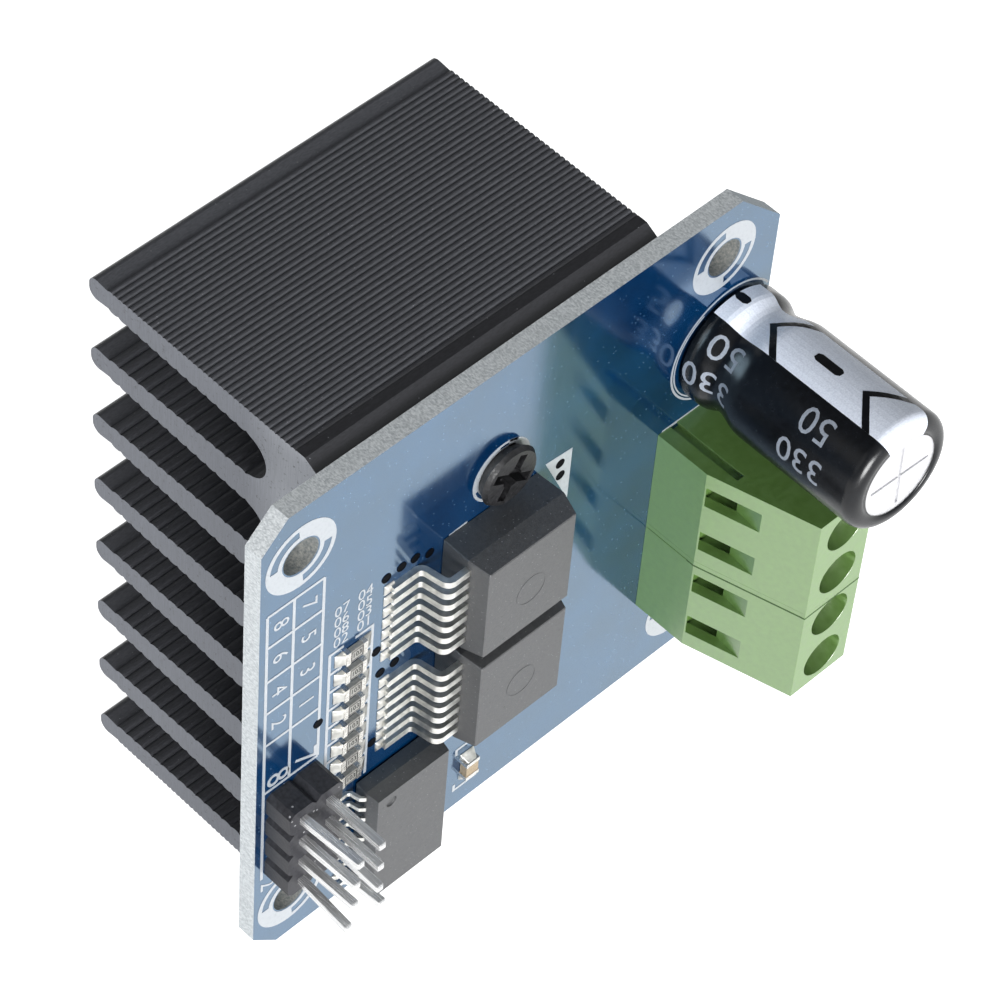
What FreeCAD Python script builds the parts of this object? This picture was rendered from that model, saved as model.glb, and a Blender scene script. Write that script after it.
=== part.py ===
import FreeCAD, Part

import math
import os
import re

import Sketcher
from FreeCAD import Placement, Rotation, Vector

# DC motor driver module: a square circuit board with two power half bridges, a logic buffer,
# a pin header, two screw terminals and a storage capacitor, bolted to a finned heatsink.
#
# Frame, in millimetres: the origin is the centre of the four mounting holes on the board's
# component face. +X runs along the board towards the screw terminals, +Y goes from the component
# face through the board into the heatsink, and +Z is up. The module stands on its lowest fin.

SIZES = [
    # Board, with the places of its mounting holes from its left and bottom edges
    ("board_wide", 50.0),
    ("board_tall", 50.0),
    ("board_thick", 1.6),
    ("corner_cut_left", 2.35),
    ("corner_cut_right", 4.5),
    ("hole_span_across", 40.7),
    ("hole_span_up", 40.0),
    ("hole_from_left", 3.6),
    ("hole_from_bottom", 5.0),
    ("mount_hole_bore", 3.2),
    # Heatsink: an extrusion along X with straight fins
    ("sink_from_left", 6.55),
    ("sink_long", 32.3),
    ("sink_deep", 22.95),
    ("sink_overhang", 2.1),
    ("sink_base_thick", 4.85),
    ("fin_pitch", 7.18),
    ("fin_count", 8),
    ("fin_tip_thick", 2.0),
    ("fin_root_thick", 3.05),
    ("fin_tip_round", 0.8),
    ("sink_edge_cut_deep", 1.15),
    ("sink_edge_cut_up", 0.65),
    # Thermal pad between the board and the heatsink
    ("pad_thick", 0.25),
    ("pad_margin", 0.5),
    # Heatsink screw
    ("screw_from_left", 22.68),
    ("screw_from_bottom", 38.78),
    ("screw_thread_bore", 3.0),
    ("screw_thread_long", 6.0),
    ("screw_head_wide", 5.2),
    ("screw_head_tall", 1.1),
    ("screw_head_foot", 4.4),
    ("screw_head_rim", 0.75),
    ("screw_head_cut", 0.25),
    ("screw_recess_wide", 0.8),
    ("screw_recess_across", 4.0),
    ("screw_recess_deep", 0.85),
    ("screw_hub_wide", 1.7),
    ("screw_hub_foot", 1.3),
    ("screw_hub_deep", 1.3),
    ("screw_recess_turn", 31.0),
    ("screw_recess_taper", 6.0),
    ("screw_clearance", 0.1),
    ("screw_tap_allowance", 0.04),
    ("screw_tap_beyond", 0.3),
    # Power half bridges
    ("driver_tips_from_left", 12.2),
    ("upper_driver_from_bottom", 30.5),
    ("lower_driver_from_bottom", 19.7),
    ("driver_lead_reach", 5.0),
    ("driver_wide", 9.4),
    ("driver_tall", 10.0),
    ("driver_high", 4.45),
    ("driver_parting", 2.6),
    ("driver_front_draft_left", 0.4),
    ("driver_front_draft_right", 0.55),
    ("driver_front_draft_side", 0.31),
    ("driver_back_draft", 0.1),
    ("driver_tab_thick", 1.27),
    ("driver_tab_tall", 8.6),
    ("driver_tab_beyond", 0.75),
    ("driver_tab_corner", 0.8),
    ("driver_tab_inside", 7.5),
    ("driver_leads", 7),
    ("lead_pitch", 1.27),
    ("driver_lead_wide", 0.6),
    ("driver_lead_thick", 0.5),
    ("driver_lead_foot", 2.3),
    ("driver_lead_bend", 0.35),
    ("driver_lead_slope", 80.0),
    ("lead_embedded", 0.6),
    # Logic buffer
    ("buffer_from_left", 13.375),
    ("buffer_from_bottom", 7.08),
    ("buffer_wide", 7.5),
    ("buffer_tall", 12.8),
    ("buffer_high", 2.52),
    ("buffer_standoff", 0.15),
    ("buffer_parting", 1.35),
    ("buffer_draft", 0.2),
    ("buffer_dimple_bore", 1.0),
    ("buffer_dimple_deep", 0.15),
    ("buffer_dimple_from_side", 1.55),
    ("buffer_dimple_from_end", 1.29),
    ("buffer_span", 10.3),
    ("buffer_leads_side", 10),
    ("buffer_lead_wide", 0.4),
    ("buffer_lead_thick", 0.25),
    ("buffer_lead_foot", 0.65),
    ("buffer_lead_bend", 0.15),
    ("buffer_lead_slope", 78.0),
    # Pin header, two columns of four
    ("header_from_left", 3.5),
    ("header_from_bottom", 14.77),
    ("header_pitch", 2.54),
    ("header_columns", 2),
    ("header_rows", 4),
    ("header_high", 2.54),
    ("header_corner", 0.45),
    ("pin_wide", 0.64),
    ("pin_front", 8.15),
    ("pin_back", 3.2),
    ("pin_point", 0.4),
    ("pin_point_taper", 0.17),
    ("pin_hole_bore", 1.02),
    # Chip resistors and the small bypass capacitor
    ("resistor_count", 8),
    ("resistor_pitch", 2.13),
    ("resistor_from_left", 8.9),
    ("top_resistor_from_bottom", 30.1),
    ("chip_long", 2.0),
    ("chip_wide", 1.25),
    ("chip_thick", 0.5),
    ("chip_cap_long", 0.4),
    ("chip_cap_proud", 0.05),
    ("bypass_from_left", 21.63),
    ("bypass_from_bottom", 4.7),
    ("bypass_thick", 0.8),
    # Storage capacitor, which leans a little on its leads
    ("can_from_left", 45.65),
    ("can_from_bottom", 35.45),
    ("can_seat", 0.6),
    ("can_lean_up", 2.8),
    ("can_lean_in", 2.1),
    ("can_long", 17.2),
    ("can_round", 4.88),
    ("can_edge", 0.85),
    ("can_edge_share", 0.3),
    ("neck_start", 1.2),
    ("neck_low", 2.6),
    ("neck_high", 3.0),
    ("neck_shoulder", 4.2),
    ("neck_end", 5.4),
    ("neck_deep", 0.55),
    ("neck_shoulder_deep", 0.2),
    ("can_score_wide", 0.25),
    ("can_score_deep", 0.12),
    ("can_score_reach", 2.9),
    ("sleeve_thick", 0.12),
    ("sleeve_lip_inner", 3.5),
    ("bung_round", 4.2),
    ("bung_deep", 1.4),
    ("can_lead_bore", 0.6),
    ("can_lead_pitch", 5.0),
    ("can_lead_hole_bore", 1.0),
    ("lead_back", 3.0),
    # Screw terminals, two blocks of two ways
    ("block_from_left", 39.5),
    ("block_from_bottom", 8.9),
    ("way_pitch", 5.08),
    ("block_ways", 2),
    ("block_deep", 9.9),
    ("block_high", 14.08),
    ("block_rear_wall", 5.0),
    ("block_rear_slant", 2.55),
    ("block_front_edge", 8.5),
    ("block_entry_edge", 9.6),
    ("cell_wide", 3.8),
    ("cell_floor", 1.4),
    ("cell_roof", 7.45),
    ("cell_rear", 3.6),
    ("room_wide", 2.9),
    ("screw_hole_bore", 3.88),
    ("screw_hole_from_rear", 5.6),
    ("window_wide", 2.05),
    ("window_start", 0.15),
    ("window_hole", 2.35),
    ("window_end", 4.75),
    ("window_undercut", 0.45),
    ("block_skin", 0.9),
    ("dovetail_from_rear", 1.6),
    ("dovetail_mouth", 0.7),
    ("dovetail_inner", 1.1),
    ("dovetail_deep", 0.6),
    ("dovetail_long", 6.9),
    ("dovetail_ridge_long", 4.5),
    ("dovetail_clearance", 0.06),
    ("cage_wide", 3.5),
    ("cage_wall", 0.5),
    ("cage_floor", 1.7),
    ("cage_roof", 7.35),
    ("cage_long", 4.6),
    ("cage_rear_gap", 0.9),
    ("tongue_thick", 0.7),
    ("tongue_gap", 0.1),
    ("tongue_long", 5.0),
    ("blade_thick", 0.8),
    ("blade_wide", 1.0),
    ("blade_hole_bore", 1.4),
    ("clamp_screw_bore", 2.4),
    ("clamp_head_wide", 3.6),
    ("clamp_head_low", 10.0),
    ("clamp_head_tall", 1.8),
    ("clamp_slot_wide", 0.6),
    ("clamp_slot_deep", 0.9),
    # Solder on the back of the board
    ("solder_tall", 0.9),
    ("solder_foot_extra", 0.5),
    ("solder_top_extra", 0.12),
    ("solder_sides", 8),
]

# How far each header pin is bent at its tip, across and up, in millimetres: the left column from
# the top down, then the right column
PIN_LEANS = [
    [(0.5, -0.25), (0.2, 0.0), (0.1, 0.1), (-0.45, 0.25)],
    [(0.0, 0.1), (-0.05, 0.1), (0.0, -0.1), (0.3, 0.25)],
]

doc = FreeCAD.newDocument("motor_driver_module")
sheet = doc.addObject("Spreadsheet::Sheet", "Sizes")
for line, (alias, value) in enumerate(SIZES, 1):
    sheet.set(f"A{line}", alias)
    sheet.set(f"B{line}", str(value))
    sheet.setAlias(f"B{line}", alias)
doc.recompute()

FUNCTIONS = {"sin", "cos", "tan", "sqrt"}
LEFT = "(0 - hole_span_across/2 - hole_from_left)"
BOTTOM = "(0 - hole_span_up/2 - hole_from_bottom)"
SINK_FRONT = "(board_thick + pad_thick)"
SINK_TALL = "((fin_count - 1)*fin_pitch + fin_tip_thick)"


# Helpers

def bound(text):
    """The text with each size written as a cell of the sheet."""
    def cell(found):
        word = found.group()
        return word if word in FUNCTIONS else "Sizes." + word
    return re.sub(r"[a-z_]+", cell, text)


def num(text):
    """Value of an expression over the sizes."""
    found = sheet.evalExpression(bound(text))
    return float(getattr(found, "Value", found))


def bind(thing, **texts):
    """Binds properties of an object to expressions over the sizes."""
    for name, text in texts.items():
        thing.setExpression(name, bound(text))
    return thing


def seat(thing, across="0", out="0", up="0", turn=None):
    """Places an object by its distance from the board's left edge, component face and bottom edge."""
    if turn is not None:
        thing.Placement = Placement(Vector(), turn)
    thing.setExpression("Placement.Base.x", bound(f"{LEFT} + {across}"))
    thing.setExpression("Placement.Base.y", bound(out))
    thing.setExpression("Placement.Base.z", bound(f"{BOTTOM} + {up}"))
    return thing


def new_body(name):
    body = doc.addObject("PartDesign::Body", name)
    body.Label = name
    return body


def origin_of(body, role):
    return next(item for item in body.Origin.OriginFeatures if item.Role == role)


def sketch_on(body, role, offset=None):
    """Empty sketch on one of the body's own planes, moved along its normal by an expression."""
    sketch = body.newObject("Sketcher::SketchObject", "outline")
    sketch.AttachmentSupport = [(origin_of(body, role), "")]
    sketch.MapMode = "FlatFace"
    if offset is not None:
        sketch.setExpression("AttachmentOffset.Base.z", bound(offset))
    return sketch


def pin_down(sketch, kind, part, point, text):
    """Fixes one coordinate of a point in a sketch to an expression."""
    number = sketch.addConstraint(Sketcher.Constraint(kind, -1, 1, part, point, num(text)))
    sketch.setExpression(f"Constraints[{number}]", bound(text))


def loop(sketch, corners):
    """Closed outline. A corner is (x, y), or (x, y, (centre x, centre y, turn)) where an arc leaves it."""
    points = [Vector(num(corner[0]), num(corner[1]), 0) for corner in corners]
    pieces = []
    for here, corner in enumerate(corners):
        start = points[here]
        stop = points[(here + 1) % len(points)]
        if len(corner) == 2:
            pieces.append((sketch.addGeometry(Part.LineSegment(start, stop)), 1, 2))
            continue
        middle = Vector(num(corner[2][0]), num(corner[2][1]), 0)
        first, last = (start, stop) if corner[2][2] > 0 else (stop, start)
        angles = [math.atan2(end.y - middle.y, end.x - middle.x) for end in (first, last)]
        circle = Part.Circle(middle, Vector(0, 0, 1), start.distanceToPoint(middle))
        arc = sketch.addGeometry(Part.ArcOfCircle(circle, angles[0], angles[1]))
        pieces.append((arc, 1, 2) if corner[2][2] > 0 else (arc, 2, 1))
    for here, (piece, first, last) in enumerate(pieces):
        after, after_first, _ = pieces[(here + 1) % len(pieces)]
        sketch.addConstraint(Sketcher.Constraint("Coincident", piece, last, after, after_first))
        pin_down(sketch, "DistanceX", piece, first, corners[here][0])
        pin_down(sketch, "DistanceY", piece, first, corners[here][1])
        if len(corners[here]) == 3:
            chord = points[(here + 1) % len(points)] - points[here]
            upright = abs(chord.y) > abs(chord.x)
            kind, text = ("DistanceX", 0) if upright else ("DistanceY", 1)
            pin_down(sketch, kind, piece, 3, corners[here][2][text])


def ring(sketch, across, up, bore):
    """Circle with its centre and diameter bound."""
    middle = Vector(num(across), num(up), 0)
    circle = sketch.addGeometry(Part.Circle(middle, Vector(0, 0, 1), num(bore)/2))
    pin_down(sketch, "DistanceX", circle, 3, across)
    pin_down(sketch, "DistanceY", circle, 3, up)
    number = sketch.addConstraint(Sketcher.Constraint("Diameter", circle, num(bore)))
    sketch.setExpression(f"Constraints[{number}]", bound(bore))


def box_loop(sketch, low, high):
    """Rectangle between two corners, each a pair of expressions."""
    loop(sketch, [(low[0], low[1]), (high[0], low[1]), (high[0], high[1]), (low[0], high[1])])


def feature(body, kind, sketch, reversed_way=False, **texts):
    """Pad, Pocket, Revolution or Groove of a sketch, with its sizes bound."""
    made = body.newObject(f"PartDesign::{kind}", kind.lower())
    made.Profile = sketch
    made.Reversed = reversed_way
    bind(made, **texts)
    body.Tip = made
    doc.recompute()
    return made


def slab(body, sketch, thick):
    """Pad that reaches half its thickness to each side of the sketch."""
    made = feature(body, "Pad", sketch, Length=thick)
    made.Midplane = True
    doc.recompute()
    return made


def spread(body, originals, axis, length, count):
    """Repeats features of a body along one of its axes."""
    made = body.newObject("PartDesign::LinearPattern", "row")
    made.Originals = originals
    made.Direction = (origin_of(body, axis), [""])
    bind(made, Length=length)
    made.Occurrences = int(round(num(count)))
    body.Tip = made
    doc.recompute()
    return made


def cut(name, base, tool):
    made = doc.addObject("Part::Cut", name)
    made.Base = base
    made.Tool = tool
    made.Label = name
    return made


def fuse(name, pieces):
    made = doc.addObject("Part::MultiFuse", name)
    made.Shapes = pieces
    made.Label = name
    return made


def drafted_block(name, front, parting, back):
    """Moulded body of two drafted halves. Each level is (y, low x, high x, half height)."""
    halves = []
    for number, (near, far) in enumerate(((front, parting), (parting, back))):
        half = doc.addObject("Part::Wedge", f"{name}_half_{number}")
        bind(half, Ymin=near[0], Xmin=near[1], Xmax=near[2], Zmin=f"0 - ({near[3]})", Zmax=near[3],
             Ymax=far[0], X2min=far[1], X2max=far[2], Z2min=f"0 - ({far[3]})", Z2max=far[3])
        halves.append(half)
    return fuse(name, halves)


def gull_wing(foot, thick, bend, slope, top, reach):
    """Outline of a formed lead: a foot on the board, a bend up, a bend back and a level stub."""
    outer = f"({bend} + {thick})"
    run = f"(({top} - 2*{outer} + (2*{bend} + {thick})*cos({slope}))/sin({slope}))"
    low = (foot, f"0 - {outer}")
    high = (f"{foot} + (2*{bend} + {thick})*sin({slope}) + {run}*cos({slope})", f"0 - {top} + {outer}")
    return [
        ("0", "0"),
        (foot, "0", (low[0], low[1], -1)),
        (f"{low[0]} + {outer}*sin({slope})", f"{low[1]} + {outer}*cos({slope})"),
        (f"{high[0]} - {bend}*sin({slope})", f"{high[1]} - {bend}*cos({slope})", (high[0], high[1], 1)),
        (high[0], f"{high[1]} - {bend}"),
        (reach, f"{high[1]} - {bend}"),
        (reach, f"{high[1]} - {outer}"),
        (high[0], f"{high[1]} - {outer}", (high[0], high[1], -1)),
        (f"{high[0]} - {outer}*sin({slope})", f"{high[1]} - {outer}*cos({slope})"),
        (f"{low[0]} + {bend}*sin({slope})", f"{low[1]} + {bend}*cos({slope})", (low[0], low[1], 1)),
        (foot, f"0 - {thick}"),
        ("0", f"0 - {thick}"),
    ]


def mirrored(corners):
    """The same outline on the other side of the sketch's upright axis."""
    def other(corner):
        if len(corner) == 2:
            return (f"0 - ({corner[0]})", corner[1])
        across, up, turn = corner[2]
        return (f"0 - ({corner[0]})", corner[1], (f"0 - ({across})", up, 0 - turn))
    return [other(corner) for corner in corners]


def shifted(corners, across):
    """The same outline moved along the sketch's level axis."""
    def moved(corner):
        if len(corner) == 2:
            return (f"{corner[0]} + {across}", corner[1])
        middle, up, turn = corner[2]
        return (f"{corner[0]} + {across}", corner[1], (f"{middle} + {across}", up, turn))
    return [moved(corner) for corner in corners]


# Places that several pieces share, from the board's left and bottom edges

def header_pin_places():
    """Columns and rows of the header's pins, the left column from the top down and then the right."""
    for column in range(int(num("header_columns"))):
        for row in range(int(num("header_rows"))):
            across = f"header_from_left + ({column} - (header_columns - 1)/2)*header_pitch"
            up = f"header_from_bottom + ((header_rows - 1)/2 - {row})*header_pitch"
            yield column, row, across, up


def can_lead_places():
    for side in (-1, 1):
        yield f"can_from_left + {side}*can_lead_pitch/2", "can_from_bottom"


BLOCK_UPS = {
    "lower": "block_from_bottom",
    "upper": "(block_from_bottom + block_ways*way_pitch)",
}


def blade_places():
    """Solder blades of both screw terminals, from the lowest way up."""
    for block in ("lower", "upper"):
        for way in range(int(num("block_ways"))):
            across = "block_from_left + cell_rear + blade_thick/2"
            yield across, f"{BLOCK_UPS[block]} + ({way} + 1/2)*way_pitch"


# Circuit board

def circuit_board():
    body = new_body("circuit_board")
    outline = sketch_on(body, "XZ_Plane")
    loop(outline, [
        ("corner_cut_left", "0"),
        ("board_wide - corner_cut_right", "0"),
        ("board_wide", "corner_cut_right"),
        ("board_wide", "board_tall - corner_cut_right"),
        ("board_wide - corner_cut_right", "board_tall"),
        ("corner_cut_left", "board_tall"),
        ("0", "board_tall - corner_cut_left"),
        ("0", "corner_cut_left"),
    ])
    feature(body, "Pad", outline, True, Length="board_thick")
    holes = sketch_on(body, "XZ_Plane")
    for across in ("hole_from_left", "hole_from_left + hole_span_across"):
        for up in ("hole_from_bottom", "hole_from_bottom + hole_span_up"):
            ring(holes, across, up, "mount_hole_bore")
    ring(holes, "screw_from_left", "screw_from_bottom", "screw_thread_bore + 2*screw_clearance")
    for _, _, across, up in header_pin_places():
        ring(holes, across, up, "pin_hole_bore")
    for across, up in can_lead_places():
        ring(holes, across, up, "can_lead_hole_bore")
    for across, up in blade_places():
        ring(holes, across, up, "blade_hole_bore")
    feature(body, "Pocket", holes, False, Length="board_thick")
    return seat(body)


# Heatsink, thermal pad and the screw that holds them

def fin_gap(middle):
    """Gap between two fins: rounded bottom, walls that taper with the fins, rounded mouth."""
    root = "(fin_pitch - fin_root_thick)/2"
    mouth = "(fin_pitch - fin_tip_thick)/2"
    back = "sink_deep"
    past = "(sink_deep + fin_tip_round)"
    turn_in = f"({back} - fin_tip_round)"
    bottom = f"(sink_base_thick + {root})"
    return [
        (bottom, f"{middle} - {root}"),
        (turn_in, f"{middle} - {mouth}", (turn_in, f"{middle} - {mouth} - fin_tip_round", -1)),
        (back, f"{middle} - {mouth} - fin_tip_round"),
        (past, f"{middle} - {mouth} - fin_tip_round"),
        (past, f"{middle} + {mouth} + fin_tip_round"),
        (back, f"{middle} + {mouth} + fin_tip_round", (turn_in, f"{middle} + {mouth} + fin_tip_round", -1)),
        (turn_in, f"{middle} + {mouth}"),
        (bottom, f"{middle} + {root}", (bottom, middle, 1)),
    ]


def heatsink():
    body = new_body("heatsink")
    section = sketch_on(body, "YZ_Plane")
    top = f"({SINK_TALL})"
    deep = "(sink_deep - fin_tip_round)"
    loop(section, [
        ("sink_edge_cut_deep", "0"),
        (deep, "0", (deep, "fin_tip_round", 1)),
        ("sink_deep", "fin_tip_round"),
        ("sink_deep", f"{top} - fin_tip_round", (deep, f"{top} - fin_tip_round", 1)),
        (deep, top),
        ("sink_edge_cut_deep", top),
        ("0", f"{top} - sink_edge_cut_up"),
        ("0", "sink_edge_cut_up"),
    ])
    feature(body, "Pad", section, Length="sink_long")
    gap = sketch_on(body, "YZ_Plane")
    loop(gap, fin_gap("(fin_tip_thick + fin_pitch)/2"))
    pocket = feature(body, "Pocket", gap, True, Length="sink_long")
    spread(body, [pocket], "Z_Axis", "(fin_count - 2)*fin_pitch", "fin_count - 1")
    tapped = sketch_on(body, "XZ_Plane")
    ring(tapped, "screw_from_left - sink_from_left", "screw_from_bottom + sink_overhang",
         "screw_thread_bore + 2*screw_tap_allowance")
    feature(body, "Pocket", tapped, False,
            Length=f"screw_thread_long - {SINK_FRONT} + screw_tap_beyond")
    return seat(body, "sink_from_left", SINK_FRONT, "0 - sink_overhang")


def thermal_pad():
    body = new_body("thermal_pad")
    sheet_of_pad = sketch_on(body, "XZ_Plane")
    box_loop(sheet_of_pad, ("pad_margin", "corner_cut_left"),
             ("sink_long - pad_margin", "board_tall - corner_cut_left"))
    ring(sheet_of_pad, "screw_from_left - sink_from_left", "screw_from_bottom",
         "screw_thread_bore + 4*screw_clearance")
    feature(body, "Pad", sheet_of_pad, True, Length="pad_thick")
    return seat(body, "sink_from_left", "board_thick")


def heatsink_screw():
    body = new_body("heatsink_screw")
    half = sketch_on(body, "XY_Plane")
    head = "screw_head_wide/2"
    loop(half, [
        ("0", "screw_thread_long"),
        ("0", "screw_hub_deep - screw_head_tall"),
        ("screw_hub_foot/2", "screw_hub_deep - screw_head_tall"),
        ("screw_hub_wide/2", "0 - screw_head_tall"),
        (f"{head} - screw_head_cut", "0 - screw_head_tall"),
        (head, "0 - screw_head_rim"),
        ("screw_head_foot/2", "0"),
        ("screw_thread_bore/2", "0"),
        ("screw_thread_bore/2", "screw_thread_long"),
    ])
    turned = body.newObject("PartDesign::Revolution", "turned")
    turned.Profile = half
    turned.ReferenceAxis = (half, ["V_Axis"])
    body.Tip = turned
    doc.recompute()
    narrow, long = "screw_recess_wide", "screw_recess_across"
    for wide, tall in ((narrow, long), (long, narrow)):
        recess = sketch_on(body, "XZ_Plane", "screw_head_tall")
        box_loop(recess, (f"0 - {wide}/2", f"0 - {tall}/2"), (f"{wide}/2", f"{tall}/2"))
        arm = feature(body, "Pocket", recess, False, Length="screw_recess_deep")
        arm.TaperAngle = num("0 - screw_recess_taper")
    turn = Rotation(Vector(0, 1, 0), num("screw_recess_turn"))
    return seat(body, "screw_from_left", "0", "screw_from_bottom", turn)


# Power half bridges

def half_bridge(which, up):
    """Seven-lead power package: moulded body, heat tab soldered to the board and formed leads."""
    tab = new_body(f"{which}_driver_tab")
    plate = sketch_on(tab, "XZ_Plane")
    low = "driver_tab_inside"
    far = "(driver_lead_reach + driver_wide + driver_tab_beyond)"
    tall = "driver_tab_tall/2"
    loop(plate, [
        (low, f"0 - {tall}"),
        (f"{far} - driver_tab_corner", f"0 - {tall}"),
        (far, f"driver_tab_corner - {tall}"),
        (far, f"{tall} - driver_tab_corner"),
        (f"{far} - driver_tab_corner", tall),
        (low, tall),
    ])
    feature(tab, "Pad", plate, Length="driver_tab_thick")
    leads = new_body(f"{which}_driver_leads")
    shape = sketch_on(leads, "XY_Plane")
    loop(shape, gull_wing("driver_lead_foot", "driver_lead_thick", "driver_lead_bend", "driver_lead_slope",
                          "(driver_parting + driver_lead_thick/2)", "(driver_lead_reach + lead_embedded)"))
    formed = slab(leads, shape, "driver_lead_wide")
    spread(leads, [formed], "Z_Axis", "(driver_leads - 1)*lead_pitch", "driver_leads")
    mould = drafted_block(
        f"{which}_driver_mould",
        ("0 - driver_high", "driver_lead_reach + driver_front_draft_left",
         "driver_lead_reach + driver_wide - driver_front_draft_right",
         "driver_tall/2 - driver_front_draft_side"),
        ("0 - driver_parting", "driver_lead_reach", "driver_lead_reach + driver_wide", "driver_tall/2"),
        ("0", "driver_lead_reach + driver_back_draft", "driver_lead_reach + driver_wide - driver_back_draft",
         "driver_tall/2 - driver_back_draft"))
    seat(tab, "driver_tips_from_left", "0", up)
    seat(leads, "driver_tips_from_left", "0", f"{up} - (driver_leads - 1)*lead_pitch/2")
    for half in mould.Shapes:
        seat(half, "driver_tips_from_left", "0", up)
    doc.recompute()
    body = cut(f"{which}_driver_body", cut(f"{which}_driver_seat", mould, tab), leads)
    return [body, tab, leads]


# Logic buffer

def logic_buffer():
    leads = new_body("logic_buffer_leads")
    wing = gull_wing("buffer_lead_foot", "buffer_lead_thick", "buffer_lead_bend", "buffer_lead_slope",
                     "(buffer_parting + buffer_lead_thick/2)",
                     "((buffer_span - buffer_wide)/2 + lead_embedded)")
    # Bends as small as these are drawn as cut corners
    left = [corner[:2] for corner in shifted(wing, "(0 - buffer_span/2)")]
    shape = sketch_on(leads, "XY_Plane")
    loop(shape, left)
    loop(shape, mirrored(left))
    formed = slab(leads, shape, "buffer_lead_wide")
    spread(leads, [formed], "Z_Axis", "(buffer_leads_side - 1)*lead_pitch", "buffer_leads_side")
    mould = drafted_block(
        "logic_buffer_mould",
        ("0 - buffer_high", "buffer_draft - buffer_wide/2", "buffer_wide/2 - buffer_draft",
         "buffer_tall/2 - buffer_draft"),
        ("0 - buffer_parting", "0 - buffer_wide/2", "buffer_wide/2", "buffer_tall/2"),
        ("0 - buffer_standoff", "buffer_draft - buffer_wide/2", "buffer_wide/2 - buffer_draft",
         "buffer_tall/2 - buffer_draft"))
    seat(leads, "buffer_from_left", "0", "buffer_from_bottom - (buffer_leads_side - 1)*lead_pitch/2")
    for half in mould.Shapes:
        seat(half, "buffer_from_left", "0", "buffer_from_bottom")
    dimple = doc.addObject("Part::Cylinder", "logic_buffer_dimple")
    bind(dimple, Radius="buffer_dimple_bore/2", Height="2*buffer_dimple_deep")
    seat(dimple, "buffer_from_left - buffer_wide/2 + buffer_dimple_from_side",
         "buffer_dimple_deep - buffer_high",
         "buffer_from_bottom + buffer_tall/2 - buffer_dimple_from_end", Rotation(Vector(1, 0, 0), 90))
    doc.recompute()
    return [cut("logic_buffer_body", cut("logic_buffer_seat", mould, dimple), leads), leads]


# Pin header

def header_block():
    """Insulator: one cell for each pin, with cut corners that leave notches between the cells."""
    body = new_body("header_block")
    outline = sketch_on(body, "XZ_Plane")
    wide = "header_columns*header_pitch/2"
    tall = "header_rows*header_pitch/2"
    columns = int(num("header_columns"))
    rows = int(num("header_rows"))
    walk = []
    for number in range(columns):
        walk += [(f"{number}*header_pitch + header_corner - {wide}", f"0 - {tall}"),
                 (f"({number} + 1)*header_pitch - header_corner - {wide}", f"0 - {tall}")]
        if number < columns - 1:
            walk.append((f"({number} + 1)*header_pitch - {wide}", f"header_corner - {tall}"))
    for number in range(rows):
        walk += [(wide, f"{number}*header_pitch + header_corner - {tall}"),
                 (wide, f"({number} + 1)*header_pitch - header_corner - {tall}")]
        if number < rows - 1:
            walk.append((f"{wide} - header_corner", f"({number} + 1)*header_pitch - {tall}"))
    loop(outline, walk + [(f"0 - ({across})", f"0 - ({up})") for across, up in walk])
    feature(body, "Pad", outline, Length="header_high")
    holes = sketch_on(body, "XZ_Plane")
    for _, _, across, up in header_pin_places():
        middle = (f"({across} - header_from_left)", f"({up} - header_from_bottom)")
        box_loop(holes, (f"{middle[0]} - pin_wide/2", f"{middle[1]} - pin_wide/2"),
                 (f"{middle[0]} + pin_wide/2", f"{middle[1]} + pin_wide/2"))
    feature(body, "Pocket", holes, True, Length="header_high")
    return seat(body, "header_from_left", "0", "header_from_bottom")


def square(middle, out, half):
    """Square wire across Y, centred on a point (x, z)."""
    signs = [(-1, -1), (1, -1), (1, 1), (-1, 1), (-1, -1)]
    corners = [Vector(middle[0] + right*half, out, middle[1] + up*half) for right, up in signs]
    return Part.makePolygon(corners)


def header_pins():
    """Square pins with tapered points. Their free ends are bent a little, as on the real header."""
    half = num("pin_wide")/2
    point = half - num("pin_point_taper")
    pins = []
    for column, row, across, up in header_pin_places():
        root = (num(across), num(up))
        lean = PIN_LEANS[column % len(PIN_LEANS)][row % len(PIN_LEANS[0])]
        bent = num("pin_front - header_high")
        near = 1 - num("pin_point")/bent
        shoulder = (root[0] + lean[0]*near, root[1] + lean[1]*near)
        tip = (root[0] + lean[0], root[1] + lean[1])
        stations = [
            square(root, num("pin_back"), point),
            square(root, num("pin_back - pin_point"), half),
            square(root, num("0 - header_high"), half),
            square(shoulder, num("pin_point - pin_front"), half),
            square(tip, num("0 - pin_front"), point),
        ]
        runs = [Part.makeLoft(list(pair), True, True) for pair in zip(stations, stations[1:])]
        pins.append(runs[0].fuse(runs[1:]).removeSplitter())
    made = doc.addObject("Part::Feature", "header_pins")
    made.Label = "header_pins"
    made.Shape = Part.makeCompound(pins)
    return seat(made)


# Chip resistors and the bypass capacitor

def chip(name, long, wide, thick):
    """Ceramic chip with a metal cap round each end, lying along X on the board."""
    body = doc.addObject("Part::Box", f"{name}_ceramic")
    bind(body, Length=long, Height=wide, Width=f"{thick} - 2*chip_cap_proud")
    ends = []
    for side in (0, 1):
        end = doc.addObject("Part::Box", f"{name}_cap_{side}")
        bind(end, Length="chip_cap_long", Height=f"{wide} + 2*chip_cap_proud", Width=thick)
        ends.append(end)
    return fuse(name, [body] + ends)


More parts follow.
